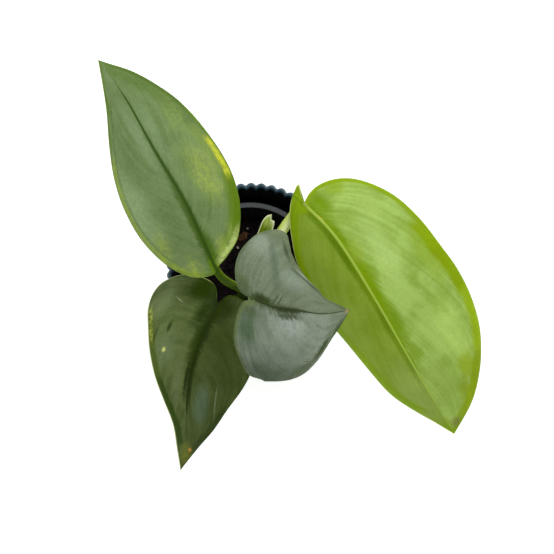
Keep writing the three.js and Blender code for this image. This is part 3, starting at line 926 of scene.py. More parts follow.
# %% Leaves: measures
LEAVES = {
    "upper_left": {
        "lag": 1.7,
        "midrib": [(-13.5, -4.5, 90), (-25, 20, 97), (-37.5, 41.5, 98), (-50, 64, 92), (-63.5, 84, 80)],
        "left_slope": (8, -28),
        "right_slope": (8, -28),
        "reach": 24,
        "hang": 0.005,
        "wave": 0.7,
        "girth": 1.65,
        "left": [
            (0, 0), (-1.4, 2), (1.2, 9), (8, 15.5), (17, 20.2), (27, 22.8), (38, 22.6), (50, 19.9),
            (64, 15), (78, 9.3), (92, 4.5), (106.5, 0),
        ],
        "right": [
            (0, 0), (0.8, -2.2), (2.5, -6.5), (7, -13.5), (17, -19.3), (29, -22.2), (42, -22.8),
            (55, -21.5), (67, -18.3), (79, -13.3), (91, -8.2), (100, -3.3), (106.5, 0),
        ],
        "stalk": [
            (2.8, -8.8, 60), (-1, -10.8, 67.5), (-5.6, -9.9, 75.5), (-9.5, -8.5, 82.5), (-12.4, -6.1, 86.2),
        ],
    },
    "lower_left": {
        "lag": 1.7,
        "midrib": [(-13, -17, 76), (-20, -31.5, 79), (-25, -48.5, 73), (-27.5, -67, 60), (-31, -85.5, 42)],
        "left_slope": (5, -30),
        "right_slope": (5, -30),
        "reach": 24,
        "hang": 0.01,
        "wave": 0.5,
        "girth": 1.65,
        "left": [
            (0, 0), (-2.3, 0.3), (-4.7, 1.8), (-5, 5.5), (-3, 11), (2, 16.7), (9, 21.2), (18, 24),
            (27, 24), (35, 21.8), (45, 16.7), (56, 11.8), (66, 7), (76, 3), (84.2, 0),
        ],
        "right": [
            (0, 0), (-2.7, -2.5), (-6.5, -4.2), (-9.3, -8.5), (-10.7, -16), (-9.7, -23), (-6, -28.8),
            (0, -30.5), (7, -28.4), (16, -23.8), (26, -19.6), (36.5, -15), (47, -10), (58, -5.3),
            (71, -2.6), (84.2, 0),
        ],
        "stalk": [(2.2, -7.5, 50), (-3, -11, 55), (-8, -14, 64.5), (-11.3, -16, 71.4)],
    },
    "middle": {
        "lag": 3.4,
        "midrib": [(3, -20.5, 127), (10, -23, 125.5), (18, -23.5, 119), (28, -23.5, 106), (39.5, -20, 83)],
        "left_slope": (8, -28),
        "right_slope": (2, -40),
        "reach": 28,
        "hang": 0.03,
        "wave": 0.3,
        "girth": 1.65,
        "left": [
            (0, 0), (-3.6, 0.2), (-6.1, 1.2), (-7.6, 4.4), (-7.7, 9.8), (-5.6, 16.2), (-0.6, 23.4),
            (4.5, 28.2), (10.5, 30.8), (16.4, 31.6), (19.4, 30.2), (18.6, 26.5), (17.6, 22.2),
            (19.2, 17.1), (23.2, 12.8), (30.1, 9), (35, 5.9), (46.2, 3.2), (60.4, 0),
        ],
        "right": [
            (0, 0), (-2.5, -0.9), (-5, -2.4), (-7.4, -7.2), (-9, -13.7), (-9, -19.5), (-7, -24.3),
            (-4.2, -28.2), (-1.2, -29.4), (3.2, -29), (9.6, -27.7), (17, -27.2), (22.6, -26.1),
            (29.1, -23.2), (35, -18.3), (42, -11), (49, -6.5), (60.4, 0),
        ],
        "stalk": [(3, -9.6, 71.8), (3, -10.5, 86), (2.4, -14, 104), (1.6, -18.4, 118), (2.3, -20, 122)],
    },
    "right": {
        "lag": 2.4,
        "midrib": [(21.5, 23.5, 80), (34, 8.5, 87), (48.5, -14, 84), (66, -41, 69), (86.5, -70, 45)],
        "left_slope": (5, -10),
        "right_slope": (-20, -75),
        "reach": 32,
        "hang": 0.01,
        "wave": 0.6,
        "girth": 2.2,
        "left": [
            (0, 0), (-2.4, 4.3), (-3.2, 9.5), (-1.5, 15.7), (3, 21.6), (10, 25.7), (21, 29.8),
            (34, 32.7), (47, 34.3), (60, 36), (72, 36), (84, 33.7), (95, 29.5), (106, 23.5),
            (116.5, 14.5), (126.4, 0),
        ],
        "right": [
            (0, 0), (-4, 1.9), (-8.8, 4.3), (-7.3, 0.3), (-4.5, -4.3), (-0.2, -9.2), (6, -15.1),
            (13, -20.9), (24, -24.8), (38, -25.8), (53, -25.5), (68, -22), (83, -19), (96, -16),
            (106, -10.8), (116, -5), (126.4, 0),
        ],
        "stalk": [
            (3.2, -7.6, 54), (4.7, -1.2, 59.2), (7.8, 6.2, 65.5), (11.9, 13.1, 70.2), (16.4, 19.3, 72.5),
            (20, 23, 74.4),
        ],
    },
}
SHOOT = {
    "lag": 1.7,
    "midrib": [(0, -1.5, 47), (1.2, 4, 57), (3.1, 9.2, 65), (6.2, 14.4, 71), (8.3, 19.9, 75.5)],
    "left_slope": (10, 100),
    "right_slope": (10, 95),
    "reach": 5,
    "hang": 0.01,
    "wave": 0,
    "left": [
        (0, 0), (1, 1.6), (7, 3), (15, 4.2), (22, 5), (27, 5.4), (31, 4.9), (34.2, 3.5), (36.4, 1.6),
        (37.2, 0),
    ],
    "right": [
        (0, 0), (1, -1.6), (7, -2.8), (15, -3.2), (22, -3.2), (27, -3.1), (31.5, -3), (35, -2.4),
        (35, -0.6), (36, -0.3), (37.2, 0),
    ],
}
for name, leaf in {**LEAVES, "shoot": SHOOT}.items():
    leaf["rib"] = Midrib(leaf["midrib"])
    print(name, "midrib:", round(leaf["rib"].length, 1), "mm")

# %% [markdown]
# A blade starts as an operator's grid, so its faces and its texture map are already in order.
# Each point knows its share across, from -1 at the right margin to 1 at the left, and its share along.
# Raising the share across to a power packs the columns near the midrib, where the groove needs them.
# Relief is added while the sheet is bent: the groove or ridge of the midrib, soft ripples between the
# side veins, and slow bumps that keep the sheet from looking pressed.

# %% Leaves: the bent sheet
VEIN_SWEEP = 0.3
VEIN_CURL = 0.12
COLUMN_PACKING = 1.3
EDGE_SAMPLES = 500
WAVE_LENGTH = 7.5
RIDGE_WIDTH = 0.55
GROOVE_WIDTH = 1.5
BUMP_SCALE = 0.09
FLAT_STRIP = 3
THIN_STRIP = 2.5


def flat_places(leaf, v, u):
    """Along and across in millimetres, on the flat leaf, for shares along and across."""
    length = leaf["rib"].length
    margin = np.where(u[:, None] < 0, through(leaf["right"], v), through(leaf["left"], v))
    start = length * v ** leaf["lag"]
    aside = np.abs(u)
    along = start + (margin[:, 0] - start) * aside
    across = margin[:, 1] * aside
    along = np.where(v <= 0, 0, np.where(v >= 1, length, along))
    across = np.where((v <= 0) | (v >= 1), 0, across)
    return along, across


def edge_distances(leaf, along, across):
    """How far each flat place is from the nearer margin, in millimetres."""
    shares = np.linspace(0, 1, EDGE_SAMPLES)
    outline = np.vstack([through(leaf["left"], shares), through(leaf["right"], shares)])
    tree = kdtree.KDTree(len(outline))
    for i, (x, y) in enumerate(outline):
        tree.insert((x, y, 0), i)
    tree.balance()
    return np.array([tree.find((x, y, 0))[2] for x, y in zip(along, across)])


def bent(leaf, along, across, half, lift):
    """Points of the bent blade in millimetres, raised from the smooth sheet by lift."""
    at, up = leaf["rib"].station(along, leaf["hang"])
    distance = across * half
    inner = np.radians(np.where(half > 0, leaf["left_slope"][0], leaf["right_slope"][0]))
    outer = np.radians(np.where(half > 0, leaf["left_slope"][1], leaf["right_slope"][1]))
    bend = (outer - inner) / leaf["reach"]
    end = inner + bend * distance
    outwards = (np.sin(end) - np.sin(inner)) / bend
    upwards = -(np.cos(end) - np.cos(inner)) / bend
    near_edge = np.minimum(np.abs(distance) / leaf["reach"], 1)
    upwards = upwards + leaf["wave"] * near_edge**2 * np.sin(along / WAVE_LENGTH + 2 * half) + lift
    return at + leaf["rib"].side * (half * outwards)[:, None] + up * upwards[:, None]


def sheet_mesh(leaf, rows, columns, relief):
    """A leaf's blade as a bmesh sheet with its patterns' attributes. relief gives its lift."""
    bm = bmesh.new()
    bmesh.ops.create_grid(bm, x_segments=columns, y_segments=rows, size=1, calc_uvs=True)
    grid = np.array([point.co for point in bm.verts])
    u = -np.sign(grid[:, 0]) * np.abs(grid[:, 0]) ** COLUMN_PACKING
    v = np.clip((grid[:, 1] + 1) / 2, 0, 1)
    along, across = flat_places(leaf, v, u)
    edge = edge_distances(leaf, along, across)
    aside = np.abs(u)
    vein = v - VEIN_SWEEP * aside - VEIN_CURL * aside**3
    half = np.where(u < 0, -1, 1)
    places = bent(leaf, along, across, half, relief(along, across, edge, vein)) * MM
    place_layer = bm.verts.layers.float_vector.new("place")
    flow_layer = bm.verts.layers.float_vector.new("flow")
    for i, point in enumerate(bm.verts):
        point.co = places[i]
        point[place_layer] = (along[i], across[i], edge[i])
        point[flow_layer] = (vein[i], aside[i], max(half[i], 0))
    bmesh.ops.remove_doubles(bm, verts=bm.verts, dist=0.002 * MM)
    return bm


def blade_relief(groove, ridge, ripple, bumps, ripples=34, seed=0.0):
    """The lift of a blade in millimetres: groove or ridge, ripples and slow bumps."""

    def lift(along, across, edge, vein):
        length = along.max()
        fade = np.clip(1 - along / length, 0, 1) ** 0.6
        raised = ridge * np.exp(-((across / RIDGE_WIDTH) ** 2))
        sunk = groove * np.exp(-((across / GROOVE_WIDTH) ** 2))
        away = np.clip(np.abs(across) / FLAT_STRIP, 0, 1) * np.clip(edge / FLAT_STRIP, 0, 1)
        waves = ripple * np.sin(TURN * ripples * vein) * away
        places = [Vector((x * BUMP_SCALE, y * BUMP_SCALE, seed)) for x, y in zip(along, across)]
        slow = np.array([noise.noise(place) for place in places])
        return (raised - sunk) * fade + waves + bumps * slow * away

    return lift


def thickened(piece, thickness, thin_edge):
    """Gives a sheet its thickness, with an underside of its own and a thinner margin."""
    group = piece.vertex_groups.new(name="thick")
    edge = np.array([value.vector[2] for value in piece.data.attributes["place"].data])
    for i, distance in enumerate(edge):
        group.add([i], min(distance / THIN_STRIP, 1), "REPLACE")
    solid = piece.modifiers.new("thickness", "SOLIDIFY")
    solid.thickness = thickness * MM
    solid.offset = 0
    solid.vertex_group = "thick"
    solid.thickness_vertex_group = thin_edge
    solid.use_quality_normals = True
    solid.material_offset = 1
    solid.material_offset_rim = 0


print("the sheet of a blade is ready to be laid")

# %% [markdown]
# The finish of a blade mixes the shared skin with its own marks, then goes into one Principled shader.
# A little subsurface scattering lets light into the thin tissue, so that the leaves don't look painted.
# Every mark says its colour, its strength, its kind and its place. The places are in millimetres on
# the flat leaf, from the joint: along towards the tip, and across with the left half above zero.

# %% Leaves: how a finish is made
LEFT, RIGHT = 1.0, 0.0
LIGHT_DEPTH = (0.6, 1.0, 0.2)


def tissue(shader, sheen, depth):
    """Sets how much the waxy surface shines and how much light goes into the tissue."""
    shader["Specular IOR Level"].default_value = sheen
    shader["Subsurface Weight"].default_value = depth
    shader["Subsurface Radius"].default_value = LIGHT_DEPTH
    shader["Subsurface Scale"].default_value = MM


def leaf_finish(name, values, marks=(), lines=None, sheen=0.2, depth=0.1):
    """A blade's skin: the shared group with its own values, then its own marks, then the lines."""
    material, wires, shader = new_finish(name)
    on_leaf = {"Place": wires.attribute("place"), "Flow": wires.attribute("flow")}
    out = wires.group("leaf skin", {**on_leaf, **values})
    colour = out["Colour"]
    for tint, strength, (kind, shape) in marks:
        mask = wires.group(kind, {**on_leaf, **shape})["Mask"]
        colour = wires.mix(wires.times(mask, strength), colour, tint)
    lit = wires.scale(colour, out["Light"])
    lined = wires.group("leaf lines", {**on_leaf, "Colour": lit, **(lines or {})})
    wires.feed(shader["Base Color"], lined["Colour"])
    wires.feed(shader["Roughness"], out["Roughness"])
    bump(wires, shader, out["Height"], 0.2, 0.1 * MM)
    tissue(shader, sheen, depth)
    return material


def oval(along, across, half_length, half_width, ragged=0.6, grain=0.2, specks=0.0, lean=0.0):
    """A patch on the flat leaf. Lean is how far it shifts across for each millimetre along."""
    names = ("Along", "Across", "Half Length", "Half Width", "Ragged", "Grain", "Specks", "Lean")
    return "patch", dict(zip(names, (along, across, half_length, half_width, ragged, grain, specks, lean)))


def beside(side, start, end, distance, half_width, ragged=0.6, grain=0.3, drift=0.0, specks=0.0):
    """A band beside the margin of one half. Drift is how far it moves from it for each millimetre along."""
    names = ("Side", "From", "To", "Distance", "Half Width", "Ragged", "Grain", "Drift", "Specks")
    return "band", dict(zip(names, (side, start, end, distance, half_width, ragged, grain, drift, specks)))


print("a finish can now be laid on each leaf")

# %% [markdown]
# The upper left leaf is green under a thin silver haze, with a narrow dark midrib.
# A yellow-green stain lies by its right margin, with a bright yellow streak on it, and the tissue beside
# the joint is lighter. Plain noise could scatter such spots, but not put them in their places.
# So each is a mark of its own, laid from the broad and faint ones to the small and clear ones.

# %% Leaves: upper left
silver_skin = leaf_finish(
    "silver leaf",
    {
        "Green": paint(78, 108, 34), "Silver Left": paint(108, 128, 81), "Silver Right": paint(112, 134, 83),
        "Silver": 0.95, "Clouds": 0.25, "Mottle": 0.55, "Streaks": 0.2, "Rib": paint(52, 82, 0),
        "Rib Strength": 0.95, "Rib Width": 1.9, "Rib Feather": 3.6, "Rib End": 90.0,
        "Margin": paint(86, 113, 38), "Margin Width": 1.0, "Margin Ragged": 1.8, "Seed": 1.3,
    },
    [
        (paint(138, 160, 112), 0.85, oval(36, 19, 28, 8, 0.9, 0.12, 0.2)),
        (paint(128, 149, 108), 0.6, oval(62, 3.2, 22, 2.8, 0.9, 0.2)),
        (paint(126, 147, 104), 0.6, oval(60, -3.2, 20, 2.8, 0.9, 0.2)),
        (paint(92, 118, 52), 0.75, beside(RIGHT, 52, 104, 3.0, 4.4, 1.8, 0.2)),
        (paint(96, 124, 16), 0.9, beside(RIGHT, 4, 36, 2.8, 3.8, 2.6, 0.2)),
        (paint(118, 142, 56), 0.7, beside(RIGHT, 30, 58, 4.2, 3.4, 2.4, 0.2)),
        (paint(140, 160, 76), 0.9, oval(36, -12.5, 17, 6.5, 1.4, 0.16, 0.45)),
        (paint(150, 170, 74), 0.5, oval(33, -12, 10, 5, 1.6, 0.3, 0.8)),
        (paint(150, 170, 84), 0.7, oval(8, -12, 6, 3, 1.2, 0.3)),
        (paint(126, 148, 74), 0.7, oval(62, -13, 12, 4.5, 1.3, 0.25, 0.6)),
        (paint(62, 90, 10), 0.85, oval(22, 1.2, 22, 1.6, 2.0, 0.2)),
        (paint(72, 102, 14), 0.9, oval(8, -1.5, 11, 3.0, 1.4, 0.2)),
        (paint(146, 164, 66), 0.8, oval(1, 8, 9, 4.5, 1.5, 0.3, 0.7)),
        (paint(140, 158, 72), 0.75, oval(17, 15.5, 9, 4, 1.8, 0.35, 0.8)),
        (paint(150, 172, 72), 0.8, oval(5.5, -6.5, 6.5, 4.2, 2.8, 0.4, 0.4)),
        (paint(134, 156, 52), 0.85, beside(LEFT, -2, 60, 1.0, 1.7, 2.2, specks=0.5)),
        (paint(72, 98, 34), 0.5, beside(LEFT, 8, 84, 2.7, 0.6, 1.3, drift=-0.008, specks=0.5)),
        (paint(90, 120, 2), 1.0, beside(RIGHT, 6, 42, 1.6, 2.4, 2.4)),
        (paint(82, 108, 34), 0.9, beside(RIGHT, 56, 104, 0.8, 1.2, 1.4)),
        (paint(190, 196, 44), 0.95, beside(RIGHT, 27, 51, 1.9, 1.9, 2.0, specks=0.35)),
        (paint(100, 132, 10), 0.8, beside(RIGHT, 40, 66, 0.4, 0.9, 1.2)),
        (paint(190, 206, 124), 0.85, beside(RIGHT, -5, 13, 1.0, 2.2, 4.0, 0.5, specks=0.5)),
        (paint(98, 130, 0), 0.95, oval(1.5, 0, 5, 2.8, 1.0, 0.4)),
    ],
    {
        "Line": paint(46, 76, 0), "Line Strength": 0.9, "Line Width": 0.9, "Line End": 92.0,
        "Edge Left": paint(124, 146, 64), "Edge Right": paint(96, 122, 24), "Edge Width": 0.4,
    },
    sheen=0.14,
)

# %% [markdown]
# The lower left leaf is the darkest. Its haze is thinner on the left half, and its midrib is broad
# and feathered near the joint. Dark creases beside it and in the blade are painted shade, in long narrow
# ovals.
# A pale margin, a round yellow spot, two thin scratches and an orange fleck near the tip show its age.

# %% Leaves: lower left
dark_skin = leaf_finish(
    "dark leaf",
    {
        "Green": paint(52, 72, 8), "Silver Left": paint(75, 89, 43), "Silver Right": paint(94, 109, 61),
        "Silver": 0.9, "Clouds": 0.4, "Mottle": 0.6, "Streaks": 0.35, "Rib": paint(33, 50, 0),
        "Rib Strength": 1.0, "Rib Width": 3.0, "Rib Feather": 6.0, "Rib End": 54.0,
        "Margin": paint(60, 80, 20), "Margin Width": 1.1, "Margin Ragged": 2.4, "Seed": 5.1,
    },
    [
        (paint(112, 128, 84), 0.75, oval(2, -22, 10, 5.5, 0.9, 0.18)),
        (paint(106, 122, 82), 0.7, oval(24, -13, 10, 5.5, 0.9, 0.18)),
        (paint(106, 120, 82), 0.45, oval(36, -5, 14, 2.2, 0.9, 0.2)),
        (paint(47, 68, 0), 1.0, oval(-5, -9, 9, 7.5, 1.0, 0.2)),
        (paint(38, 56, 0), 1.0, oval(5, -3.8, 10, 4.6, 1.2, 0.3)),
        (paint(42, 60, 0), 0.8, oval(18, -1.8, 12, 2.4, 1.6, 0.3)),
        (paint(38, 52, 0), 1.0, oval(2, 3.4, 8, 5.5, 1.0, 0.2)),
        (paint(92, 112, 84), 0.75, oval(44, 6, 12, 4, 0.9, 0.2)),
        (paint(74, 92, 26), 0.85, beside(RIGHT, 10, 42, 1.8, 1.9, 2.0)),
        (paint(46, 70, 6), 0.95, beside(RIGHT, 34, 72, 1.9, 1.9, 2.0)),
        (paint(46, 62, 8), 0.8, beside(LEFT, 42, 80, 1.4, 1.7, 1.4)),
        (paint(112, 118, 30), 0.85, oval(73, 1.5, 9, 3.2, 1.6, 0.4, 0.4)),
        (paint(196, 140, 50), 0.85, oval(69.5, 3, 1.6, 0.9, 0.6, 0.6)),
        (paint(116, 130, 92), 0.75, oval(42, 11.5, 10, 0.5, 0.5, 0.3)),
        # Painted shade: dark creases, as long narrow ovals.
        (paint(36, 54, 0), 0.9, oval(14.3, -14, 3.4, 1.0, 1.4, 0.5)),
        (paint(40, 58, 6), 0.7, oval(19, -18.5, 6, 0.6, 1.2, 0.5)),
        (paint(28, 44, 0), 0.95, oval(34, -1.6, 11, 0.9, 1.4, 0.5)),
        (paint(28, 44, 0), 0.9, oval(40, 1.0, 9, 0.6, 1.0, 0.5)),
        (paint(206, 214, 120), 0.9, oval(24.4, -13.1, 1.4, 0.9, 0.8, 0.8)),
        (paint(200, 208, 180), 0.6, oval(1.8, -15.8, 1.2, 0.5, 0.4, 0.6, lean=1.8)),
        (paint(160, 168, 70), 0.85, beside(RIGHT, 4, 26, 1.5, 1.2, 3.4, 0.8, specks=0.8)),
    ],
    {
        "Line": paint(30, 46, 0), "Line Strength": 0.55, "Line Width": 0.5, "Line End": 60.0,
        "Edge Left": paint(48, 64, 16), "Edge Right": paint(176, 186, 118), "Edge Width": 0.5,
        "Edge Start": 5.0,
    },
    sheen=0.08,
)

# %% [markdown]
# The middle leaf is silver-grey. Painted shade darkens it where it turns down at its margins and at its lower
# lobe, and paler ovals are painted light where it faces up.
# A dark smear follows the right margin to the tip, and the tip has dried to a pale brown.
# Its folds would be too sharp for the grid of the sheet, so they are painted: a long dark oval that
# leans is painted shade, and a light one beside it is a painted highlight; together they read as a crease.

# %% Leaves: middle
grey_skin = leaf_finish(
    "silver-grey leaf",
    {
        "Green": paint(84, 102, 70), "Silver Left": paint(111, 123, 99), "Silver Right": paint(124, 135, 119),
        "Silver": 0.95, "Clouds": 0.35, "Mottle": 0.65, "Streaks": 0.25, "Rib": paint(60, 76, 34),
        "Rib Strength": 0.9, "Rib Width": 2.2, "Rib Feather": 5.5, "Rib End": 28.0,
        "Margin": paint(80, 96, 64), "Margin Width": 0.8, "Margin Ragged": 1.2, "Seed": 8.4,
    },
    [
        # Painted light: paler ovals on the upper lobe, where it faces up.
        (paint(136, 149, 130), 0.7, oval(3, 22, 8, 6, 0.8, 0.2)),
        (paint(136, 150, 134), 0.6, oval(16, 11, 9, 5, 0.9, 0.2)),
        (paint(86, 101, 80), 0.8, oval(7.5, 16, 2.6, 12, 1.2, 0.2)),
        # Painted shade where the upper lobe turns down at its margin.
        (paint(90, 104, 70), 0.7, beside(LEFT, 4, 22, 2.0, 3.2, 2.0)),
        (paint(74, 92, 50), 0.8, oval(-5, 3.5, 4, 4.5, 1.0, 0.3)),
        (paint(76, 92, 56), 0.85, oval(-2.5, -4.5, 4.5, 3.5, 1.0, 0.3)),
        # Painted light below the midrib, where the lower lobe faces up.
        (paint(150, 161, 150), 0.75, oval(14, -6, 10, 5, 0.9, 0.2, 0.3)),
        # Painted shade on the lower lobe's left and bottom, where it turns down.
        (paint(70, 92, 62), 0.85, oval(-3.5, -12, 5, 8, 0.9, 0.2)),
        (paint(92, 106, 60), 0.8, beside(RIGHT, -20, 4, 0.8, 1.3, 1.2)),
        (paint(98, 110, 96), 0.65, oval(12, -18, 22, 5, 0.9, 0.2, 0.2)),
        (paint(66, 80, 58), 0.9, oval(9, -26, 22, 7, 1.2, 0.2)),
        (paint(66, 82, 50), 0.85, oval(26.5, -21.5, 11, 4.0, 2.2, 0.4, lean=0.6)),
        (paint(46, 62, 18), 1.0, oval(35.5, -13.4, 6, 3.6, 2.4, 0.5, lean=0.9)),
        (paint(58, 72, 36), 0.85, oval(47, -6.4, 7, 2.4, 2.2, 0.4, lean=0.5)),
        # Painted shade and a painted highlight side by side read as a crease.
        (paint(52, 68, 40), 0.9, oval(24, 10.6, 10.5, 0.55, 0.7, 0.4, lean=-0.49)),
        (paint(150, 164, 148), 0.6, oval(25, 11.6, 9, 0.5, 0.7, 0.4, lean=-0.49)),
        (paint(56, 74, 44), 0.85, oval(14.6, 22, 1.4, 5.0, 2.2, 0.6)),
        (paint(46, 62, 20), 0.95, oval(2.5, 1.6, 4.5, 1.9, 2.0, 0.6)),
        (paint(36, 48, 12), 1.0, oval(14, -0.4, 9, 1.5, 2.4, 0.6)),
        (paint(52, 66, 34), 0.9, oval(13, -2.4, 7, 1.6, 3.6, 1.0)),
        (paint(50, 64, 30), 0.9, oval(9.2, 2.8, 1.3, 0.6, 0.6, 0.5, lean=1.6)),
        (paint(50, 64, 30), 0.8, oval(7.4, 3.0, 1.3, 0.6, 0.6, 0.5, lean=1.6)),
        (paint(172, 160, 110), 0.85, oval(58, 0, 4, 2.2, 0.8, 0.4)),
    ],
    {
        "Line": paint(38, 50, 18), "Line Strength": 0.9, "Line Width": 0.5, "Line End": 60.0,
        "Edge Left": paint(104, 118, 84), "Edge Right": paint(66, 80, 46), "Edge Width": 0.4,
    },
    sheen=0.14,
)

# %% [markdown]
# The right leaf is lime green, with a milky haze that thins out in streaks along the veins. The haze of
# the left half is painted paler, a painted sheen where that half faces the light. Its midrib is a pale line
# with a greener stripe on its left and a darker one on its right, the ridge's painted shadow. Its margin is
# clear of haze.
# The stripes and the gaps in the haze are marks, and the ridge under the pale line is in the mesh.

# %% Leaves: right
lime_skin = leaf_finish(
    "lime leaf",
    {
        "Green": paint(118, 150, 6), "Silver Left": paint(160, 189, 96), "Silver Right": paint(134, 159, 52),
        "Silver": 0.93, "Clouds": 0.45, "Mottle": 0.32, "Streaks": 0.19, "Rib": paint(100, 132, 0),
        "Rib Strength": 1.0, "Rib Width": 2.4, "Rib Feather": 3.6, "Rib End": 118.0,
        "Margin": paint(122, 152, 0), "Margin Width": 1.3, "Margin Growth": 1.5, "Margin Ragged": 3.4,
        "Seed": 12.7,
    },
    [
        # Painted sheen: paler haze on the left half, which faces the light.
        (paint(178, 206, 118), 0.6, oval(34, 13, 20, 6, 1.0, 0.12)),
        (paint(174, 202, 108), 0.6, oval(16, 19, 10, 5, 1.0, 0.15)),
        (paint(176, 204, 104), 0.7, oval(82, 21, 18, 7, 1.0, 0.12)),
        (paint(142, 165, 76), 0.8, oval(100, -5, 26, 9, 0.9, 0.15)),
        (paint(140, 166, 72), 0.7, oval(98, 7, 22, 7, 0.9, 0.15)),
        (paint(116, 148, 0), 1.0, oval(40, 1.2, 52, 3.6, 1.1, 0.15)),
        (paint(118, 150, 4), 0.7, oval(40, 3.4, 9, 3.8, 2.2, 0.2)),
        (paint(112, 144, 0), 0.8, oval(62, 3.2, 12, 3.4, 2.2, 0.2)),
        (paint(116, 146, 6), 0.7, oval(79, 3.2, 9, 3.4, 2.2, 0.2)),
        (paint(150, 176, 60), 0.6, oval(30, 3.4, 6, 3.0, 1.6, 0.2)),
        (paint(136, 164, 34), 0.65, oval(46, 27, 17, 4.8, 1.6, 0.12)),
        (paint(138, 164, 20), 0.85, oval(99, 20, 9, 5.5, 1.8, 0.16)),
        (paint(128, 150, 20), 0.85, oval(110, 14, 8, 4.5, 1.8, 0.16)),
        (paint(138, 166, 30), 0.75, oval(2, 14, 6, 5, 1.6, 0.2)),
        (paint(116, 148, 0), 0.95, oval(4, 5, 9, 4, 1.2, 0.2)),
        # Painted shadow of the midrib's ridge on its right side.
        (paint(92, 122, 0), 0.9, oval(24, -1.8, 26, 1.6, 1.0, 0.3)),
        (paint(104, 132, 10), 0.8, oval(66, -1.5, 34, 1.2, 1.0, 0.3)),
        (paint(128, 158, 0), 0.95, beside(RIGHT, -12, 46, 2.6, 3.0, 2.4)),
        (paint(124, 156, 4), 0.95, beside(RIGHT, 40, 112, 2.4, 2.8, 2.4)),
        (paint(134, 162, 8), 0.9, beside(LEFT, -8, 36, 0.8, 1.9, 2.0)),
        (paint(130, 158, 0), 1.0, beside(LEFT, 30, 74, 2.6, 4.2, 3.4, 0.2)),
        (paint(142, 170, 16), 0.95, beside(LEFT, 66, 100, 1.8, 3.4, 3.2, 0.2)),
        (paint(132, 156, 8), 0.95, beside(LEFT, 94, 122, 2.2, 3.4, 2.8, 0.2)),
        (paint(188, 176, 70), 0.6, oval(10.5, 0.4, 2.6, 0.6, 0.8, 0.5)),
        (paint(116, 116, 60), 0.75, oval(121, 3.2, 4, 3, 1.6, 0.3, 0.5)),
    ],
    {
        "Line": paint(162, 187, 74), "Line Strength": 0.9, "Line Width": 0.38, "Line End": 118.0,
        "Edge Left": paint(158, 184, 60), "Edge Right": paint(210, 222, 140), "Edge Width": 0.5,
    },
    sheen=0.08,
    depth=0.15,
)

# %% [markdown]
# The undersides are a plain paler green with hardly any silver, and their midribs are paler still.
# The same group makes them, so that margins and veins on both faces lie in the same places.

# %% Leaves: undersides
under_skin = leaf_finish(
    "leaf underside",
    {
        "Green": paint(106, 132, 70), "Silver Left": paint(124, 146, 94), "Silver Right": paint(124, 146, 94),
        "Silver": 0.6, "Mottle": 0.3, "Streaks": 0.3, "Rib": paint(132, 152, 92), "Rib Width": 1.4,
        "Rib End": 100.0, "Margin": paint(112, 136, 62), "Margin Width": 1.0, "Seed": 20.0,
    },
    lines={"Line Strength": 0.0, "Edge Left": paint(140, 156, 92), "Edge Right": paint(140, 156, 92)},
)
print("leaf finishes:", [m.name for m in bpy.data.materials if "leaf" in m.name])

# %% [markdown]
# Each blade is laid as a sheet, takes the place of its plain solid and then gets its thickness.
# The Solidify modifier gives it both faces and a rim at once, and a vertex group thins the margin.

# %% Leaves: the four blades
BLADE_THICKNESS = 0.8
EDGE_SHARE = 0.35
ROWS = 170
COLUMNS = 84
blade_kinds = {
    "upper_left": ("silver_leaf", silver_skin, blade_relief(0.45, 0.0, 0.05, 0.35, seed=1.0)),
    "lower_left": ("dark_leaf", dark_skin, blade_relief(0.4, 0.0, 0.06, 0.4, seed=2.0)),
    "middle": ("grey_leaf", grey_skin, blade_relief(0.4, 0.0, 0.05, 0.3, seed=3.0)),
    "right": ("lime_leaf", lime_skin, blade_relief(0.15, 0.5, 0.06, 0.4, seed=4.0)),
}
for name, (slot, finish, relief) in blade_kinds.items():
    sheet = sheet_mesh(LEAVES[name], ROWS, COLUMNS, relief)
    blade = finished_piece(f"leaf_{name}", sheet, f"blade_{name}", slot, finish, under_skin)
    thickened(blade, BLADE_THICKNESS, EDGE_SHARE)

# %% [markdown]
# A stalk is a channelled rod: round below, with a groove along its upper side between two low wings.
# It could be a bevelled curve, but a curve can't turn its groove to follow the blade.
# So a grid is rolled up round the line, and a frame carried back from the blade keeps the groove on top.
# Each stalk runs on under its blade as the raised midrib and thins out there.

# %% Stalks: shape
RIB_END_RADIUS = 0.5
RIB_SHARE = 0.55
STALK_STEPS = 150
STALK_SIDES = 28
GROOVE_SHARE = 0.18
GROOVE_ANGLE = 0.5
GROOVE_FADE = 12


def carried_frames(path, last_up):
    """Upward directions along a line, carried back from its end with as little turning as possible."""
    tangents = unit(np.gradient(path, axis=0))
    ups = [None] * len(path)
    up = np.asarray(last_up, float)
    for i in range(len(path) - 1, -1, -1):
        up = unit(up - tangents[i] * np.dot(up, tangents[i]))
        ups[i] = up
    return tangents, np.array(ups)


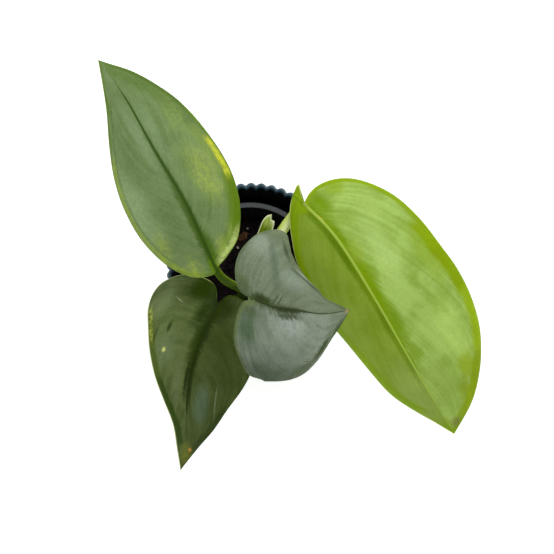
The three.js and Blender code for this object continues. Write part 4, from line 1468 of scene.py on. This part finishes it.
def rolled_rod(path, radii, last_up, sides, groove):
    """A grid rolled into a rod about a line. Its end rows shrink to points and close it."""
    rows = len(path) - 1
    tangents, ups = carried_frames(path, last_up)
    spans = np.linalg.norm(np.diff(path, axis=0), axis=1)
    lengths = np.concatenate([[0], np.cumsum(spans)])
    bm = bmesh.new()
    bmesh.ops.create_grid(bm, x_segments=sides, y_segments=rows, size=1, calc_uvs=True)
    place_layer = bm.verts.layers.float_vector.new("place")
    for point in bm.verts:
        row = round((point.co.y + 1) / 2 * rows)
        angle = math.pi * point.co.x
        dent = 1 - groove(row) * math.exp(-((angle / GROOVE_ANGLE) ** 2))
        across = np.cross(tangents[row], ups[row])
        out = ups[row] * math.cos(angle) + across * math.sin(angle)
        point.co = (path[row] + out * radii[row] * dent) * MM
        point[place_layer] = (lengths[row], math.cos(angle), math.sin(angle))
    bmesh.ops.remove_doubles(bm, verts=bm.verts, dist=0.002 * MM)
    bmesh.ops.recalc_face_normals(bm, faces=bm.faces)
    return bm


def rounded_ends(radii, rows=5):
    """Lets the first and last rows of a rod's radii shrink to nothing like a dome."""
    for i in range(rows):
        share = math.sqrt(1 - (1 - i / rows) ** 2)
        radii[i] *= share
        radii[-1 - i] *= share
    return radii


def stalk_mesh(leaf):
    """A stalk up to its blade and on beneath it, as a closed rod."""
    rib, girth = leaf["rib"], leaf["girth"]

    def under(along, radius, drop):
        at, up = rib.station(np.array([float(along)]))
        return tuple(at[0] - up[0] * (drop + radius))

    rib_end = rib.length * RIB_SHARE
    path_points = [
        *leaf["stalk"],
        under(3, girth * 0.9, 0.35),
        under(rib_end * 0.4, girth * 0.6, 0.2),
        under(rib_end * 0.7, RIB_END_RADIUS * 1.4, 0.1),
        under(rib_end, RIB_END_RADIUS, -0.05),
    ]
    joint = len(leaf["stalk"]) / (len(path_points) - 1)
    shares = np.linspace(0, 1, STALK_STEPS + 1)
    path = through(path_points, shares)
    free = girth * (1.15 - 0.2 * shares / joint)
    past_joint = np.clip((shares - joint) / (1 - joint), 0, 1)
    ribbed = RIB_END_RADIUS + (girth * 0.95 - RIB_END_RADIUS) * (1 - past_joint) ** 1.3
    radii = rounded_ends(np.where(shares < joint, free, ribbed))
    last_up = rib.station(np.array([rib_end]))[1][0]
    groove_end = int(STALK_STEPS * joint)

    def groove(row):
        return GROOVE_SHARE * min(max((groove_end - row) / GROOVE_FADE, 0), 1)

    return rolled_rod(path, radii, last_up, STALK_SIDES, groove)


# %% [markdown]
# The four stalks have the same skin in different greens: the right leaf's is a pale yellow-green, and
# the lower left one, which stands in the shade of the leaves, is the darkest: its greens carry painted shade.
# Fine streaks run along them. The groove, the flanks and the foot are found from the place on the rod:
# the groove is darkened with painted shade, and the flanks get a painted highlight.

# %% Stalks: finish


def stalk_finish(name, body, streak_and_groove_shade, flank_highlight, base):
    """A stalk's green skin: painted shade in its groove, a painted highlight on its flanks, browner at the
    foot.
    """
    material, wires, shader = new_finish(name)
    length, top, side = wires.split(wires.attribute("place"))
    slow_length = wires.times(length, 0.12)
    drawn_out = wires.join(slow_length, wires.times(top, 5.0), wires.times(side, 5.0))
    streaks = wires.noise(drawn_out, 1.0, 3.0)
    colour = wires.mix(wires.smooth(streaks, 0.35, 0.7), body, streak_and_groove_shade)
    # Painted shade: the groove along the top is darkened.
    colour = wires.mix(wires.times(wires.smooth(top, 0.8, 0.96), 0.8), colour, streak_and_groove_shade)
    # Painted highlight: the flanks, the outline seen from above, are paler.
    flank_highlight_mask = wires.smooth(wires.math("ABSOLUTE", side), 0.86, 0.98)
    colour = wires.mix(wires.times(flank_highlight_mask, 0.8), colour, flank_highlight)
    foot = wires.smooth(wires.plus(length, wires.times(streaks, 6.0)), 10.0, 4.0)
    colour = wires.mix(wires.times(foot, 0.7), colour, base)
    wires.feed(shader["Base Color"], colour)
    wires.feed(shader["Roughness"], wires.plus(0.32, wires.times(streaks, 0.25)))
    bump(wires, shader, streaks, 0.3, 0.15 * MM)
    tissue(shader, 0.12, 0.15)
    return material


PAPERY = paint(120, 108, 62)
stalk_greens = {
    "upper_left": ("dark stalk", paint(78, 106, 0), paint(54, 78, 0), paint(128, 152, 56)),
    # Painted shade: this stalk's greens are darkened for the shade of the leaves above it.
    "lower_left": ("stalk with painted shade", paint(42, 58, 14), paint(28, 42, 4), paint(60, 76, 30)),
    "middle": ("grey-green stalk", paint(96, 118, 62), paint(76, 98, 40), paint(128, 146, 96)),
    "right": ("pale stalk", paint(212, 230, 132), paint(200, 220, 102), paint(236, 244, 186)),
}

# %% Stalks: the four pieces
for name, greens in stalk_greens.items():
    finish = stalk_finish(*greens, PAPERY)
    finished_piece(f"petiole_{name}", stalk_mesh(LEAVES[name]), f"stalk_{name}", "stalk", finish)

# %% [markdown]
# The stem is short and jointed: each fallen or living stalk has left a ring on it.
# It is a rolled rod too, whose radius swells at the joints, with a thin brown scar round each.

# %% Stem
STEM_POINTS = [(1.5, -5, 30), (2, -6.5, 46), (3, -8.5, 60), (3, -9.5, 71)]
STEM_LENGTH = 41.5
STEM_RADIUS = 3
STEM_SIDES = 36
STEM_STEPS = 160
STEM_JOINTS = 5

shares = np.linspace(0, 1, STEM_STEPS + 1)
swell = 1 + 0.07 * np.cos(shares * STEM_JOINTS * TURN)
scar = 1 - 0.05 * np.exp(-(((shares * STEM_JOINTS + 0.12) % 1 - 0.12) / 0.03) ** 2)
radii = rounded_ends(STEM_RADIUS * swell * scar * (1 - 0.12 * shares), 8)
bm = rolled_rod(through(STEM_POINTS, shares), radii, (0, 1, 0), STEM_SIDES, lambda row: 0.0)

stem_finish, wires, shader = new_finish("jointed stem")
length, top, side = wires.split(wires.attribute("place"))
streaks = wires.noise(wires.join(wires.times(length, 0.25), top, side), 3.0, 4.0)
rings = wires.math("FRACT", wires.times(length, STEM_JOINTS / STEM_LENGTH))
near_ring = wires.smooth(wires.math("ABSOLUTE", wires.minus(rings, 0.5)), 0.44, 0.49)
green = wires.mix(wires.smooth(streaks, 0.4, 0.62), paint(82, 104, 36), paint(112, 128, 62))
colour = wires.mix(wires.smooth(length, 30.0, 12.0), green, paint(96, 82, 44))
wires.feed(shader["Base Color"], wires.mix(wires.times(near_ring, 0.7), colour, paint(92, 76, 40)))
wires.feed(shader["Roughness"], wires.plus(0.38, wires.times(streaks, 0.25)))
bump(wires, shader, streaks, 0.4, 0.3 * MM)
finished_piece("jointed_stem", bm, "stem", "stem", stem_finish)

# %% [markdown]
# The young shoot is a leaf that is still rolled into a gutter, with a split tip.
# It is laid with the same sheet as the blades. Only its slopes are so steep that its margins curl up.

# %% Shoot
SHOOT_ROWS = 70
SHOOT_COLUMNS = 36
SHOOT_THICKNESS = 0.7
SHOOT_EDGE_SHARE = 0.4

shoot_skin = leaf_finish(
    "young shoot",
    {
        "Green": paint(112, 136, 4), "Silver Left": paint(122, 144, 14), "Silver Right": paint(196, 214, 112),
        "Silver": 0.85, "Clouds": 0.8, "Mottle": 0.4, "Streaks": 0.5, "Rib": paint(140, 166, 20),
        "Rib Width": 1.0, "Rib Feather": 1.0, "Rib End": 36.0, "Margin": paint(186, 206, 104),
        "Margin Width": 0.6, "Margin Ragged": 0.4, "Seed": 15.0,
    },
    [
        (paint(222, 228, 184), 0.9, oval(37.2, 0.8, 2.2, 2.8, 0.8, 0.6)),
        (paint(226, 230, 196), 0.9, oval(35, -2, 2.4, 1.8, 0.8, 0.6)),
        (paint(200, 216, 120), 0.6, oval(33.5, 1, 3, 2, 1.2, 0.6)),
    ],
    {
        "Line Strength": 0.0, "Edge Left": paint(222, 228, 184), "Edge Right": paint(222, 228, 188),
        "Edge Width": 0.55,
    },
    sheen=0.1,
    depth=0.2,
)
bm = sheet_mesh(SHOOT, SHOOT_ROWS, SHOOT_COLUMNS, blade_relief(0.1, 0.0, 0.02, 0.1, ripples=14, seed=5.0))
shoot = finished_piece("rolled_shoot", bm, "new_shoot", "shoot", shoot_skin, shoot_skin)
thickened(shoot, SHOOT_THICKNESS, SHOOT_EDGE_SHARE)
